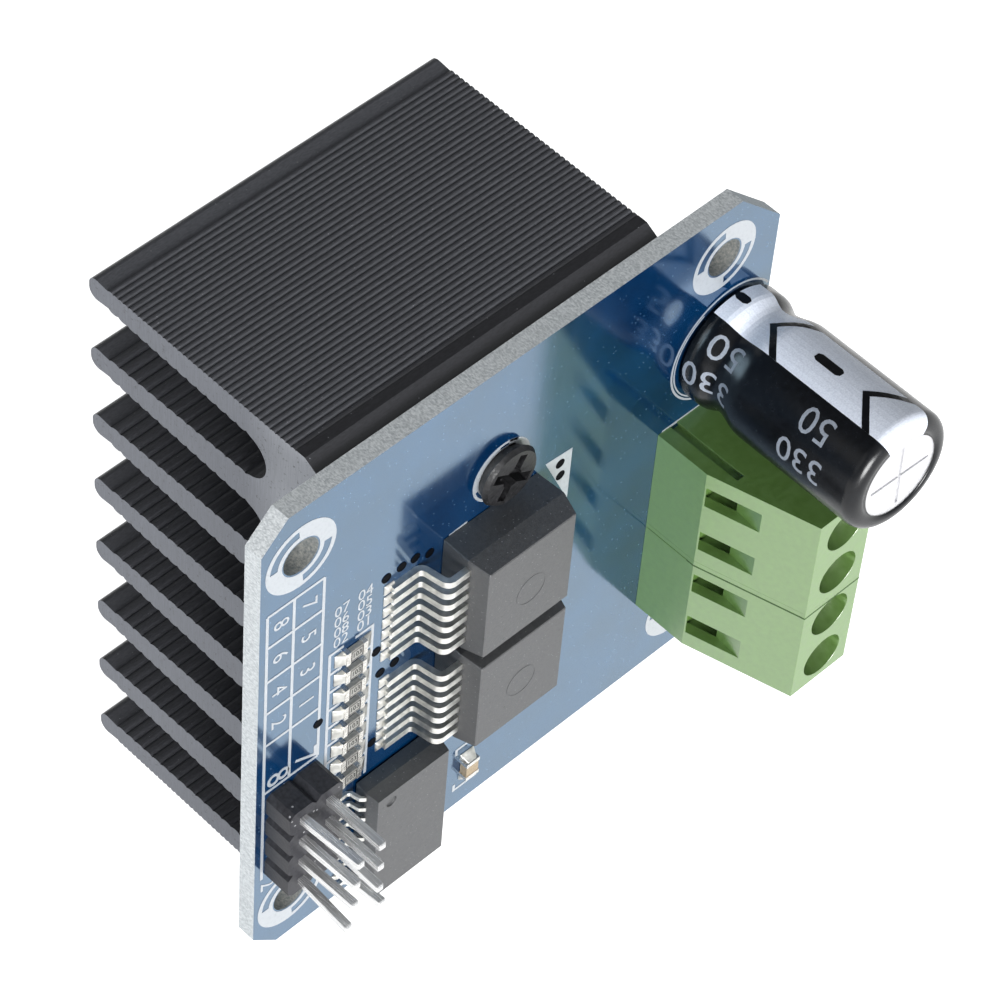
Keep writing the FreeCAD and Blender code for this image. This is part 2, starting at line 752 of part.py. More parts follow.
def lay_chip(made, across, up, long, wide, thick, turn=None):
    """Seats a chip with its middle at a place on the board; a turned one lies along Z."""
    body, first, last = made.Shapes
    for piece, along in ((body, "0"), (first, "0"), (last, f"{long} - chip_cap_long")):
        proud = "chip_cap_proud" if piece is body else "0"
        side = f"0 - {wide}/2" if piece is body else f"0 - {wide}/2 - chip_cap_proud"
        if turn is None:
            seat(piece, f"{across} - {long}/2 + {along}", f"{proud} - {thick}", f"{up} + {side}")
        else:
            seat(piece, f"{across} - ({side})", f"{proud} - {thick}", f"{up} - {long}/2 + {along}", turn)
    return made


def chip_resistors():
    made = []
    for number in range(int(num("resistor_count"))):
        resistor = chip(f"resistor_{number + 1}", "chip_long", "chip_wide", "chip_thick")
        up = f"top_resistor_from_bottom - {number}*resistor_pitch"
        made.append(lay_chip(resistor, "resistor_from_left", up, "chip_long", "chip_wide", "chip_thick"))
    return made


def bypass_capacitor():
    made = chip("bypass_capacitor", "chip_long", "chip_wide", "bypass_thick")
    upright = Rotation(Vector(0, 1, 0), -90)
    return lay_chip(made, "bypass_from_left", "bypass_from_bottom", "chip_long", "chip_wide",
                    "bypass_thick", upright)


# Storage capacitor

def neck(inset):
    """Rolled neck of the can, as corners of its outline from the low side up."""
    stations = [("neck_start", "0"), ("neck_low", "neck_deep"), ("neck_high", "neck_deep"),
                ("neck_shoulder", "neck_shoulder_deep"), ("neck_end", "0")]
    return [(f"can_round + {inset} - {deep}", f"0 - {along}") for along, deep in stations]


def top_edge(inset):
    """Edge of the can's top, drawn as two cut corners, from the wall to the top face."""
    wall = f"can_round + {inset}"
    top = f"0 - can_long - {inset}"
    between = "can_edge*can_edge_share"
    return [(wall, f"{top} + can_edge"), (f"{wall} - {between}", f"{top} + {between}"),
            (f"{wall} - can_edge", top)]


def turned_piece(name, corners):
    """Body of revolution about its own upright axis, drawn in the XY plane."""
    body = new_body(name)
    half = sketch_on(body, "XY_Plane")
    loop(half, corners)
    turned = body.newObject("PartDesign::Revolution", "turned")
    turned.Profile = half
    turned.ReferenceAxis = (half, ["V_Axis"])
    body.Tip = turned
    doc.recompute()
    return body


def storage_capacitor():
    """Can, printed sleeve and rubber bung share one axis. The leads run straight into the board."""
    can = turned_piece("capacitor_can", [
        ("0", "0 - bung_deep"),
        ("bung_round", "0 - bung_deep"),
        ("bung_round", "0 - sleeve_thick"),
        ("can_round", "0 - sleeve_thick"),
        *neck("0"),
        *top_edge("0"),
        ("0", "0 - can_long"),
    ])
    for wide, tall in (("can_score_wide", "2*can_score_reach"), ("2*can_score_reach", "can_score_wide")):
        score = sketch_on(can, "XZ_Plane", "can_long")
        box_loop(score, (f"0 - {wide}/2", f"0 - {tall}/2"), (f"{wide}/2", f"{tall}/2"))
        feature(can, "Pocket", score, False, Length="can_score_deep")
    sleeve = turned_piece("capacitor_sleeve", [
        ("bung_round", "0"),
        ("can_round + sleeve_thick", "0"),
        *neck("sleeve_thick"),
        *top_edge("sleeve_thick"),
        ("sleeve_lip_inner", "0 - can_long - sleeve_thick"),
        ("sleeve_lip_inner", "0 - can_long"),
        *top_edge("0")[::-1],
        *neck("0")[::-1],
        ("can_round", "0 - sleeve_thick"),
        ("bung_round", "0 - sleeve_thick"),
    ])
    plug = turned_piece("capacitor_bung_disc", [
        ("0", "0"), ("bung_round", "0"), ("bung_round", "0 - bung_deep"), ("0", "0 - bung_deep")])
    lean = Rotation(Vector(1, 0, 0), num("0 - can_lean_up")).multiply(
        Rotation(Vector(0, 0, 1), num("0 - can_lean_in")))
    for piece in (can, sleeve, plug):
        seat(piece, "can_from_left", "0 - can_seat", "can_from_bottom", lean)
    wires = []
    for number, (across, up) in enumerate(can_lead_places()):
        wire = doc.addObject("Part::Cylinder", f"capacitor_lead_{number}")
        bind(wire, Radius="can_lead_bore/2", Height="lead_back + can_seat + bung_deep/2")
        seat(wire, across, "lead_back", up, Rotation(Vector(1, 0, 0), 90))
        wires.append(wire)
    leads = doc.addObject("Part::Compound", "capacitor_leads")
    leads.Links = wires
    leads.Label = "capacitor_leads"
    doc.recompute()
    bung = cut("capacitor_bung", plug, leads)
    return [can, sleeve, bung, leads]


# Screw terminals

def along_slant(along, deep):
    """Point on the slanted rear face: a distance up it from its bend, and a depth below it."""
    tall = "(block_high - block_rear_wall)"
    slope = f"sqrt(block_rear_slant*block_rear_slant + {tall}*{tall})"
    ahead = f"block_rear_slant/{slope}"
    away = f"{tall}/{slope}"
    return (f"{along}*{ahead} + {deep}*{away}",
            f"0 - block_rear_wall - {along}*{away} + {deep}*{ahead}")


def dovetail(grow):
    """Outline of the dovetail on a block's end, across and along the end's normal."""
    half = f"(dovetail_mouth/2 - {grow})"
    wide = f"(dovetail_inner/2 - {grow})"
    deep = f"(dovetail_deep - {grow})"
    return half, wide, deep


def terminal_housing(which):
    body = new_body(f"{which}_terminal_housing")
    side = sketch_on(body, "XY_Plane")
    loop(side, [
        ("0", "0"),
        ("0", "0 - block_rear_wall"),
        ("block_rear_slant", "0 - block_high"),
        ("block_front_edge", "0 - block_high"),
        ("block_deep", "0 - block_entry_edge"),
        ("block_deep", "0"),
    ])
    feature(body, "Pad", side, Length="block_ways*way_pitch")
    ridge = sketch_on(body, "XZ_Plane")
    half, wide, deep = dovetail("dovetail_clearance")
    loop(ridge, [
        (f"dovetail_from_rear - {half}", "0"),
        (f"dovetail_from_rear - {wide}", f"0 - {deep}"),
        (f"dovetail_from_rear + {wide}", f"0 - {deep}"),
        (f"dovetail_from_rear + {half}", "0"),
    ])
    feature(body, "Pad", ridge, Length="dovetail_ridge_long")
    slot = sketch_on(body, "XZ_Plane")
    half, wide, deep = dovetail("0")
    top = "(block_ways*way_pitch)"
    loop(slot, [
        (f"dovetail_from_rear - {half}", top),
        (f"dovetail_from_rear - {wide}", f"{top} - {deep}"),
        (f"dovetail_from_rear + {wide}", f"{top} - {deep}"),
        (f"dovetail_from_rear + {half}", top),
    ])
    feature(body, "Pocket", slot, True, Length="dovetail_long")
    cell = sketch_on(body, "XY_Plane", "way_pitch/2")
    box_loop(cell, ("cell_rear", "0 - cell_roof"), ("block_deep", "0 - cell_floor"))
    entry = feature(body, "Pocket", cell, False, Length="cell_wide")
    entry.Midplane = True
    room = sketch_on(body, "XY_Plane", "way_pitch/2")
    corner = along_slant("(window_start - window_undercut)", "block_skin")
    loop(room, [
        corner,
        along_slant("window_hole", "block_skin"),
        ("cell_rear", "0 - cell_roof"),
        ("cell_rear + blade_thick", "0 - cell_roof"),
        ("cell_rear + blade_thick", corner[1]),
    ])
    hollow = feature(body, "Pocket", room, False, Length="room_wide")
    hollow.Midplane = True
    blade = sketch_on(body, "XY_Plane", "way_pitch/2")
    box_loop(blade, ("cell_rear", "0 - cell_floor"), ("cell_rear + blade_thick", "0"))
    slit = feature(body, "Pocket", blade, False, Length="blade_wide")
    slit.Midplane = True
    window = sketch_on(body, "XY_Plane", "way_pitch/2")
    loop(window, [
        along_slant("window_start", "0"),
        corner,
        along_slant("window_hole", "2*block_skin"),
        along_slant("window_hole", "block_skin"),
        along_slant("window_end", "0"),
    ])
    opening = feature(body, "Pocket", window, False, Length="window_wide")
    opening.Midplane = True
    bore = sketch_on(body, "XZ_Plane", "block_high")
    ring(bore, "screw_hole_from_rear", "way_pitch/2", "screw_hole_bore")
    hole = feature(body, "Pocket", bore, False, Length="block_high - cell_roof")
    spread(body, [entry, hollow, slit, opening, hole], "Z_Axis", "(block_ways - 1)*way_pitch", "block_ways")
    return seat(body, "block_from_left", "0", BLOCK_UPS[which])


def clamp_cages(which):
    """Metal frames that the clamp screws draw up against the contact tongues."""
    body = new_body(f"{which}_clamp_cages")
    rear = "cell_rear + cage_rear_gap"
    frame = sketch_on(body, "YZ_Plane", rear)
    box_loop(frame, ("0 - cage_roof", "way_pitch/2 - cage_wide/2"),
             ("0 - cage_floor", "way_pitch/2 + cage_wide/2"))
    box_loop(frame, ("cage_wall - cage_roof", "way_pitch/2 + cage_wall - cage_wide/2"),
             ("0 - cage_floor - cage_wall", "way_pitch/2 + cage_wide/2 - cage_wall"))
    tube = feature(body, "Pad", frame, Length="cage_long")
    bore = sketch_on(body, "XZ_Plane", "cage_roof")
    ring(bore, "screw_hole_from_rear", "way_pitch/2", "clamp_screw_bore + 2*screw_tap_allowance")
    hole = feature(body, "Pocket", bore, False, Length="cage_wall")
    spread(body, [tube, hole], "Z_Axis", "(block_ways - 1)*way_pitch", "block_ways")
    return seat(body, "block_from_left", "0", BLOCK_UPS[which])


TONGUE_ROOF = "(cage_roof - cage_wall - tongue_gap)"


def clamp_screws(which):
    """Slotted screws, each with its end on the contact tongue and its head in the housing's hole."""
    body = new_body(f"{which}_clamp_screws")
    half = sketch_on(body, "XY_Plane", "way_pitch/2")
    left = "screw_hole_from_rear"
    shank = "clamp_screw_bore/2"
    head = "clamp_head_wide/2"
    crown = "(clamp_head_low + clamp_head_tall)"
    loop(half, [
        (left, f"0 - {TONGUE_ROOF}"),
        (f"{left} + {shank}", f"0 - {TONGUE_ROOF}"),
        (f"{left} + {shank}", "0 - clamp_head_low"),
        (f"{left} + {head}", "0 - clamp_head_low"),
        (f"{left} + {head}", f"0 - {crown}"),
        (left, f"0 - {crown}"),
    ])
    turned = body.newObject("PartDesign::Revolution", "turned")
    turned.Profile = half
    turned.ReferenceAxis = (half, ["Edge6"])
    body.Tip = turned
    doc.recompute()
    slot = sketch_on(body, "XZ_Plane", crown)
    box_loop(slot, (f"{left} - clamp_slot_wide/2", f"way_pitch/2 - {head}"),
             (f"{left} + clamp_slot_wide/2", f"way_pitch/2 + {head}"))
    notch = feature(body, "Pocket", slot, False, Length="clamp_slot_deep")
    spread(body, [turned, notch], "Z_Axis", "(block_ways - 1)*way_pitch", "block_ways")
    return seat(body, "block_from_left", "0", BLOCK_UPS[which])


def terminal_contacts(which):
    """Bent strips: a tongue through the clamp cage and a blade down through the board."""
    body = new_body(f"{which}_terminal_contacts")
    strip = sketch_on(body, "XY_Plane", "way_pitch/2")
    near = "cell_rear"
    roof = f"(0 - {TONGUE_ROOF})"
    loop(strip, [
        (near, "lead_back"),
        (near, roof),
        (f"{near} + tongue_long", roof),
        (f"{near} + tongue_long", f"{roof} + tongue_thick"),
        (f"{near} + blade_thick", f"{roof} + tongue_thick"),
        (f"{near} + blade_thick", "lead_back"),
    ])
    bent = slab(body, strip, "blade_wide")
    spread(body, [bent], "Z_Axis", "(block_ways - 1)*way_pitch", "block_ways")
    return seat(body, "block_from_left", "0", BLOCK_UPS[which])


# Solder on the back of the board

def solder(name, places, bore, reach, pins):
    """Fillets of solder round the pins on the back of the board, drawn with eight sides."""
    fillets = []
    for number, (across, up) in enumerate(places):
        levels = []
        for out, radius in (("board_thick", f"{bore}/2 + solder_foot_extra"),
                            ("board_thick + solder_tall", f"{reach} + solder_top_extra")):
            level = doc.addObject("Part::RegularPolygon", f"{name}_level")
            level.Polygon = int(num("solder_sides"))
            bind(level, Circumradius=radius)
            levels.append(seat(level, across, out, up, Rotation(Vector(1, 0, 0), -90)))
        fillet = doc.addObject("Part::Loft", f"{name}_{number}")
        fillet.Sections = levels
        fillet.Solid = True
        fillet.Ruled = True
        fillets.append(fillet)
    joined = doc.addObject("Part::Compound", f"{name}_fillets")
    joined.Links = fillets
    doc.recompute()
    return cut(name, joined, pins)


def build():
    sink = [heatsink(), thermal_pad(), heatsink_screw()]
    drivers = []
    for which in ("upper", "lower"):
        drivers += half_bridge(which, f"{which}_driver_from_bottom")
    pins = header_pins()
    capacitor = storage_capacitor()
    blocks = []
    contacts = []
    for which in ("upper", "lower"):
        contacts.append(terminal_contacts(which))
        blocks += [terminal_housing(which), clamp_cages(which), clamp_screws(which)]
    both = doc.addObject("Part::Compound", "all_contacts")
    both.Links = contacts
    doc.recompute()
    header_places = [place[2:] for place in header_pin_places()]
    joints = [
        solder("header_solder", header_places, "pin_hole_bore", "pin_wide*sqrt(2)/2", pins),
        solder("capacitor_solder", can_lead_places(), "can_lead_hole_bore", "can_lead_bore/2",
               capacitor[-1]),
        solder("terminal_solder", blade_places(), "blade_hole_bore", "blade_wide*sqrt(2)/2", both),
    ]
    return ([circuit_board()] + sink + drivers + logic_buffer() + [header_block(), pins] + chip_resistors()
            + [bypass_capacitor()] + capacitor + blocks + contacts + joints)


def write_out(pieces):
    doc.recompute()
    for thing in doc.Objects:
        if "Invalid" in thing.State or "Error" in thing.State:
            raise RuntimeError(f"{thing.Label} failed: {thing.State}")
    os.makedirs("parts", exist_ok=True)
    for piece in pieces:
        if piece.Shape.isNull() or not piece.Shape.isValid():
            raise RuntimeError(f"{piece.Label} has no valid shape")
        piece.Shape.exportStep(f"parts/{piece.Label}.step")
        size = piece.Shape.BoundBox
        print(f"{piece.Label}: {len(piece.Shape.Solids)} solids, {piece.Shape.Volume:.2f} mm3, "
              f"{size.XLength:.2f} x {size.YLength:.2f} x {size.ZLength:.2f} mm")


write_out(build())
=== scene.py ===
import math

import bmesh
import bpy
from mathutils import Matrix, Vector

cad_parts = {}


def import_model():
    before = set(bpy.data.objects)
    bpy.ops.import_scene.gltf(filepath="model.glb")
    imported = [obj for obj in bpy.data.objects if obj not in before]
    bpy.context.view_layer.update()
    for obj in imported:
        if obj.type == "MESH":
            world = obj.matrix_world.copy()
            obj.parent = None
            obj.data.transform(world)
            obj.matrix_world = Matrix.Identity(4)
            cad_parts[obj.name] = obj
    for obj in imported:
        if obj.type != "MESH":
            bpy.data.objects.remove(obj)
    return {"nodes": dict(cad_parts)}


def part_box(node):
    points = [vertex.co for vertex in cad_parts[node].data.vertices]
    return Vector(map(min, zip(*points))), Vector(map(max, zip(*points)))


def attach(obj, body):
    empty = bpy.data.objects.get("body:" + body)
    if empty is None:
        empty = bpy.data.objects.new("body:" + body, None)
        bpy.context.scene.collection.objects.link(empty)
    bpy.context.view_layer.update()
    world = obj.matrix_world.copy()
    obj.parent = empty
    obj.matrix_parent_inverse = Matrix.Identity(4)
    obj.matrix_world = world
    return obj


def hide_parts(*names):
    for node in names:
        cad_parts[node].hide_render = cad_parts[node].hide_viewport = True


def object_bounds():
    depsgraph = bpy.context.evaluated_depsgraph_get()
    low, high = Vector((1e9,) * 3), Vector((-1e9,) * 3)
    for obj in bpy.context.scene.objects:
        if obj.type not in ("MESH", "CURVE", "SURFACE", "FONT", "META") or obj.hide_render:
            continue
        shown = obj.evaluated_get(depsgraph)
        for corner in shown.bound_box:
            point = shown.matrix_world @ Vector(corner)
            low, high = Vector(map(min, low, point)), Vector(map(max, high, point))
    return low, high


# Looks of the motor driver module. Lengths in the tables are millimetres from the board's left and
# bottom edges, and outward from its component face.

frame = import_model()
cad_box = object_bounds()

MM = 0.001
BOARD_LOW, BOARD_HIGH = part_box("circuit_board")
SINK_LOW, SINK_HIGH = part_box("heatsink")
FLOOR = cad_box[0][2]

# Depth of the heatsink's smooth lip, and length of a chip between its tinned ends
SINK_LIP = 2.0
CHIP_BARE = 1.2


def at(across, up, out=0.0):
    """Point in metres from a place on the board, with its height above the component face."""
    return Vector((BOARD_LOW[0] + across*MM, BOARD_LOW[1] - out*MM, BOARD_LOW[2] + up*MM))


# Materials

# Radius of a speck as a share of its cell
SPECK_RADIUS = 0.28


class Look:
    """A procedural material: one shader, and the nodes that drive it."""

    def __init__(self, name, **sockets):
        self.material = bpy.data.materials.new(name)
        self.material.use_nodes = True
        self.tree = self.material.node_tree
        self.shader = self.tree.nodes["Principled BSDF"]
        for socket, value in sockets.items():
            self.set(socket.replace("_", " "), value)

    def set(self, socket, value):
        target = self.shader.inputs[socket]
        if isinstance(value, bpy.types.NodeSocket):
            self.tree.links.new(value, target)
        elif isinstance(value, tuple):
            target.default_value = (*value, 1.0)
        else:
            target.default_value = value

    def node(self, kind, inputs=(), **settings):
        made = self.tree.nodes.new(kind)
        for key, value in settings.items():
            setattr(made, key, value)
        for socket, value in dict(inputs).items():
            if isinstance(value, bpy.types.NodeSocket):
                self.tree.links.new(value, made.inputs[socket])
            elif isinstance(value, tuple) and made.inputs[socket].type == "RGBA":
                made.inputs[socket].default_value = (*value, 1.0)
            else:
                made.inputs[socket].default_value = value
        return made

    def place(self, stretch):
        """Object coordinates in metres, scaled along each axis."""
        where = self.node("ShaderNodeTexCoord").outputs["Object"]
        return self.node("ShaderNodeMapping", {"Vector": where, "Scale": stretch}).outputs["Vector"]

    def noise(self, feature, detail, stretch=(1, 1, 1)):
        """Noise whose features are about the given number of millimetres."""
        inputs = {"Vector": self.place(stretch), "Scale": 1/(feature*MM), "Detail": detail}
        return self.node("ShaderNodeTexNoise", inputs).outputs["Fac"]

    def ramp(self, value, low, high):
        """0 below low, 1 above high."""
        inputs = {"Value": value, "From Min": low, "From Max": high}
        return self.node("ShaderNodeMapRange", inputs).outputs["Result"]

    def math(self, operation, first, second=0.0):
        return self.node("ShaderNodeMath", {0: first, 1: second}, operation=operation).outputs[0]

    def mix(self, share, first, second):
        """Mixes two colours, or two numbers."""
        if any(isinstance(value, tuple) or getattr(value, "type", "") == "RGBA" for value in (first, second)):
            made = self.node("ShaderNodeMix", data_type="RGBA")
            names = (6, 7, 2)
        else:
            made = self.node("ShaderNodeMix", data_type="FLOAT")
            names = (2, 3, 0)
        for index, value in ((0, share), (names[0], first), (names[1], second)):
            if isinstance(value, bpy.types.NodeSocket):
                self.tree.links.new(value, made.inputs[index])
            elif isinstance(value, tuple):
                made.inputs[index].default_value = (*value, 1.0)
            else:
                made.inputs[index].default_value = value
        return made.outputs[names[2]]

    def bump(self, height, deep):
        """Bump of the given depth in millimetres."""
        made = self.node("ShaderNodeBump", {"Height": height, "Strength": 1.0, "Distance": deep*MM})
        self.set("Normal", made.outputs["Normal"])

    def axis(self, name, source="Object"):
        where = self.node("ShaderNodeTexCoord").outputs[source]
        return self.node("ShaderNodeSeparateXYZ", {"Vector": where}).outputs[name]

    def specks(self, feature, share):
        """1 in small dots that cover a small share of the surface."""
        inputs = {"Vector": self.place((1, 1, 1)), "Scale": 1/(feature*MM)}
        cells = self.node("ShaderNodeTexVoronoi", inputs)
        chosen = self.node("ShaderNodeSeparateColor", {"Color": cells.outputs["Color"]}).outputs[0]
        near = self.math("LESS_THAN", cells.outputs["Distance"], SPECK_RADIUS)
        return self.math("MULTIPLY", near, self.math("LESS_THAN", chosen, share))


def srgb(red, green, blue):
    """Linear colour of an sRGB one, 0 to 255."""
    def linear(value):
        value /= 255
        return value/12.92 if value <= 0.04045 else ((value + 0.055)/1.055)**2.4
    return (linear(red), linear(green), linear(blue))


# Distances from the board's middle past which a wall is part of its rim and not of a hole
RIM = 24.0*MM
RIM_DIAGONAL = 45.0*MM


def board_look():
    """Blue mask on the two faces, pale laminate on the rim and darker laminate in the holes."""
    look = Look("solder_mask", IOR=2.75, Specular_Tint=(0.62, 0.84, 1.0))
    facing = look.math("GREATER_THAN", look.math("ABSOLUTE", look.axis("Y", "Normal")), 0.5)
    sideways = look.math("SUBTRACT", look.axis("X"), (BOARD_LOW[0] + BOARD_HIGH[0])/2)
    edge_x = look.math("GREATER_THAN", look.math("ABSOLUTE", sideways), RIM)
    upright = look.math("ABSOLUTE", look.axis("Z"))
    edge_z = look.math("GREATER_THAN", upright, RIM)
    reach = look.math("ADD", look.math("ABSOLUTE", look.axis("X")), upright)
    rim = look.math("MAXIMUM", look.math("MAXIMUM", edge_x, edge_z),
                    look.math("GREATER_THAN", reach, RIM_DIAGONAL))
    cloudy = look.ramp(look.noise(6.0, 3.0), 0.35, 0.65)
    mask = look.mix(cloudy, srgb(0, 30, 62), srgb(2, 42, 78))
    dust = look.specks(0.2, 0.05)
    mask = look.mix(dust, mask, srgb(72, 100, 124))
    fibres = look.noise(0.12, 4.0, (1, 0.5, 1))
    laminate = look.mix(look.ramp(fibres, 0.35, 0.65), srgb(174, 174, 173), srgb(220, 220, 219))
    drilled = look.mix(look.ramp(look.noise(0.2, 4.0), 0.3, 0.7), srgb(84, 78, 70), srgb(150, 143, 130))
    look.set("Base Color", look.mix(facing, look.mix(rim, drilled, laminate), mask))
    scratches = look.ramp(look.noise(1.2, 5.0, (1, 1, 0.2)), 0.3, 0.8)
    look.set("Roughness", look.mix(facing, 0.75, look.mix(scratches, 0.1, 0.15)))
    look.bump(look.mix(facing, fibres, 0.5), 0.04)
    return look.material


def ink_look():
    look = Look("screen_print", Roughness=0.3, IOR=2.15)
    worn = look.ramp(look.noise(0.3, 3.0), 0.2, 0.5)
    look.set("Base Color", look.mix(worn, srgb(136, 141, 147), srgb(152, 157, 162)))
    return look.material


def anodised_look():
    """Black anodising, with painted shade darkening the smooth lip next to the board."""
    look = Look("black_anodising", IOR=1.6)
    grain = look.ramp(look.noise(0.1, 3.0, (0.3, 1, 1)), 0.3, 0.7)
    deep = look.math("SUBTRACT", look.axis("Y"), SINK_LOW[1])
    # Painted shade: darker anodising on the lip next to the board than on the fins
    shaded_lip = look.mix(grain, srgb(34, 34, 37), srgb(44, 44, 48))
    fins = look.mix(grain, srgb(66, 67, 71), srgb(82, 83, 88))
    shade = look.mix(look.ramp(deep, SINK_LIP*MM, (SINK_LIP + 0.6)*MM), shaded_lip, fins)
    look.set("Base Color", look.mix(look.specks(0.16, 0.012), shade, srgb(120, 121, 126)))
    look.set("Roughness", look.mix(grain, 0.32, 0.45))
    look.bump(grain, 0.004)
    return look.material


def sawn_look():
    """Saw marks on bare metal, with painted light making them a little brighter near the board."""
    look = Look("sawn_aluminium", Metallic=0.85)
    marks = look.noise(0.08, 3.0, (1, 1, 0.06))
    streaks = look.ramp(marks, 0.3, 0.7)
    pits = look.ramp(look.noise(0.25, 4.0), 0.62, 0.7)
    # Painted light: the sawn ends are made lighter towards the board
    near = look.ramp(look.math("SUBTRACT", look.axis("Y"), SINK_LOW[1]), 7.0*MM, 3.0*MM)
    shade = look.mix(streaks, look.mix(near, srgb(96, 99, 106), srgb(122, 125, 131)),
                     look.mix(near, srgb(120, 123, 130), srgb(145, 148, 154)))
    look.set("Base Color", look.mix(pits, shade, srgb(88, 90, 94)))
    look.set("Roughness", look.mix(streaks, 0.42, 0.58))
    look.bump(marks, 0.01)
    return look.material


def epoxy_look():
    """Grainy black moulding with pale dust and small dark pits."""
    look = Look("moulding_compound", IOR=1.92)
    grain = look.noise(0.09, 4.0)
    patches = look.ramp(look.noise(0.3, 4.0), 0.35, 0.65)
    shade = look.mix(look.ramp(grain, 0.35, 0.65), look.mix(patches, srgb(24, 24, 27), srgb(34, 35, 36)),
                     look.mix(patches, srgb(42, 43, 46), srgb(54, 55, 57)))
    shade = look.mix(look.specks(0.15, 0.05), shade, srgb(104, 106, 110))
    look.set("Base Color", look.mix(look.specks(0.4, 0.03), shade, srgb(10, 10, 11)))
    look.set("Roughness", look.mix(look.ramp(grain, 0.3, 0.7), 0.46, 0.62))
    look.bump(grain, 0.02)
    return look.material


def metal_look(name, dark, light, rough_low, rough_high, feature, deep, stretch=(1, 1, 1), metallic=1.0):
    """Metal between two colours, in waves of a size in millimetres and a bump of a depth."""
    look = Look(name, Metallic=metallic)
    waves = look.ramp(look.noise(feature, 3.0, stretch), 0.3, 0.7)
    look.set("Base Color", look.mix(waves, dark, light))
    look.set("Roughness", look.mix(waves, rough_low, rough_high))
    look.bump(waves, deep)
    return look.material


def plastic_look(name, dark, light, rough_low, rough_high, feature, deep, dust=0.0, **sockets):
    """Plastic between two colours, in waves as on the metals, with a share of pale dust."""
    look = Look(name, **sockets)
    waves = look.ramp(look.noise(feature, 4.0), 0.3, 0.7)
    shade = look.mix(waves, dark, light)
    if dust:
        shade = look.mix(look.specks(0.3, dust), shade, srgb(150, 150, 152))
    look.set("Base Color", shade)
    look.set("Roughness", look.mix(waves, rough_low, rough_high))
    look.bump(waves, deep)
    return look.material


def chip_look(name, axis, middle, ceramic_dark, ceramic_light):
    """Ceramic between two tinned ends."""
    look = Look(name)
    away = look.math("ABSOLUTE", look.math("SUBTRACT", look.axis(axis), middle))
    tinned = look.math("GREATER_THAN", away, CHIP_BARE/2*MM)
    grain = look.ramp(look.noise(0.15, 3.0), 0.3, 0.7)
    ceramic = look.mix(grain, ceramic_dark, ceramic_light)
    tin = look.mix(grain, srgb(196, 192, 184), srgb(232, 230, 226))
    look.set("Base Color", look.mix(tinned, ceramic, tin))
    look.set("Metallic", look.math("MULTIPLY", tinned, 0.9))
    look.set("Roughness", look.mix(tinned, 0.55, 0.25))
    look.bump(grain, 0.02)
    return look.material


BOARD = board_look()
INK = ink_look()
ANODISED = anodised_look()
SAWN = sawn_look()
EPOXY = epoxy_look()
TIN = metal_look("tinned_leads", srgb(212, 212, 211), srgb(238, 238, 237), 0.2, 0.28, 0.8, 0.001)
LEAD = metal_look("lead_frame", srgb(204, 203, 198), srgb(234, 233, 228), 0.32, 0.44, 0.5, 0.002)
SOLDER = metal_look("bright_solder", srgb(184, 183, 178), srgb(218, 217, 212), 0.32, 0.45, 0.5, 0.012)
PIN = metal_look("pin_metal", srgb(186, 186, 186), srgb(238, 238, 238), 0.2, 0.3, 0.08, 0.003, (1, 0.02, 1), 0.7)
ZINC = metal_look("zinc_plate", srgb(150, 150, 146), srgb(190, 190, 186), 0.25, 0.4, 0.4, 0.01)
ALUMINIUM = metal_look("drawn_aluminium", srgb(212, 212, 214), srgb(230, 230, 232), 0.3, 0.42, 0.2, 0.01)
SCREW = plastic_look("blackened_steel", srgb(16, 16, 17), srgb(34, 34, 36), 0.32, 0.5, 0.3, 0.015, 0.02, IOR=1.4)
HEADER = plastic_look("header_plastic", srgb(38, 38, 41), srgb(54, 54, 58), 0.4, 0.52, 0.3, 0.01, 0.03, IOR=1.3)
GREEN = plastic_look("terminal_plastic", srgb(83, 115, 52), srgb(92, 125, 62), 0.3, 0.4, 0.5, 0.006, IOR=2.25)
# Painted shadow: dark green for the gap where the two terminal blocks meet
JOINT_SHADOW = plastic_look("terminal_joint", srgb(38, 62, 26), srgb(56, 84, 40), 0.6, 0.7, 0.5, 0.006)
SLEEVE = plastic_look("sleeve_film", srgb(8, 9, 12), srgb(14, 16, 20), 0.2, 0.28, 0.5, 0.002, IOR=1.38)
STRIPE = plastic_look("sleeve_print", srgb(212, 218, 231), srgb(236, 241, 252), 0.35, 0.45, 0.12, 0.004)
DIGIT = plastic_look("sleeve_digits", srgb(124, 130, 140), srgb(146, 152, 162), 0.35, 0.45, 0.12, 0.004)
RUBBER = plastic_look("bung_rubber", srgb(20, 20, 20), srgb(34, 34, 34), 0.6, 0.75, 0.3, 0.01)
PAD = plastic_look("thermal_pad", srgb(100, 102, 106), srgb(128, 130, 134), 0.65, 0.8, 0.4, 0.02)
# Painted shade: near-black, almost without sheen, for the dark insides of the small holes
VIA_SHADE = plastic_look("via_hole_shade", srgb(4, 5, 8), srgb(9, 10, 14), 0.5, 0.6, 0.2, 0.01, IOR=1.1)
PLATE = plastic_look("resistor_glaze", srgb(126, 125, 121), srgb(146, 145, 141), 0.4, 0.5, 0.2, 0.01)
CODE = plastic_look("resistor_code", srgb(10, 10, 11), srgb(18, 18, 19), 0.5, 0.6, 0.2, 0.01, IOR=1.2)

RESISTOR_X = 8.9
RESISTOR_TOP = 30.1
RESISTOR_PITCH = 2.13
RESISTORS = 8
BYPASS = (21.63, 4.7)
RESISTOR = chip_look("chip_resistor", "X", at(RESISTOR_X, 0)[0], srgb(118, 117, 112), srgb(148, 146, 141))
BYPASS_CHIP = chip_look("chip_capacitor", "Z", at(0, BYPASS[1])[2], srgb(132, 116, 94), srgb(164, 148, 124))

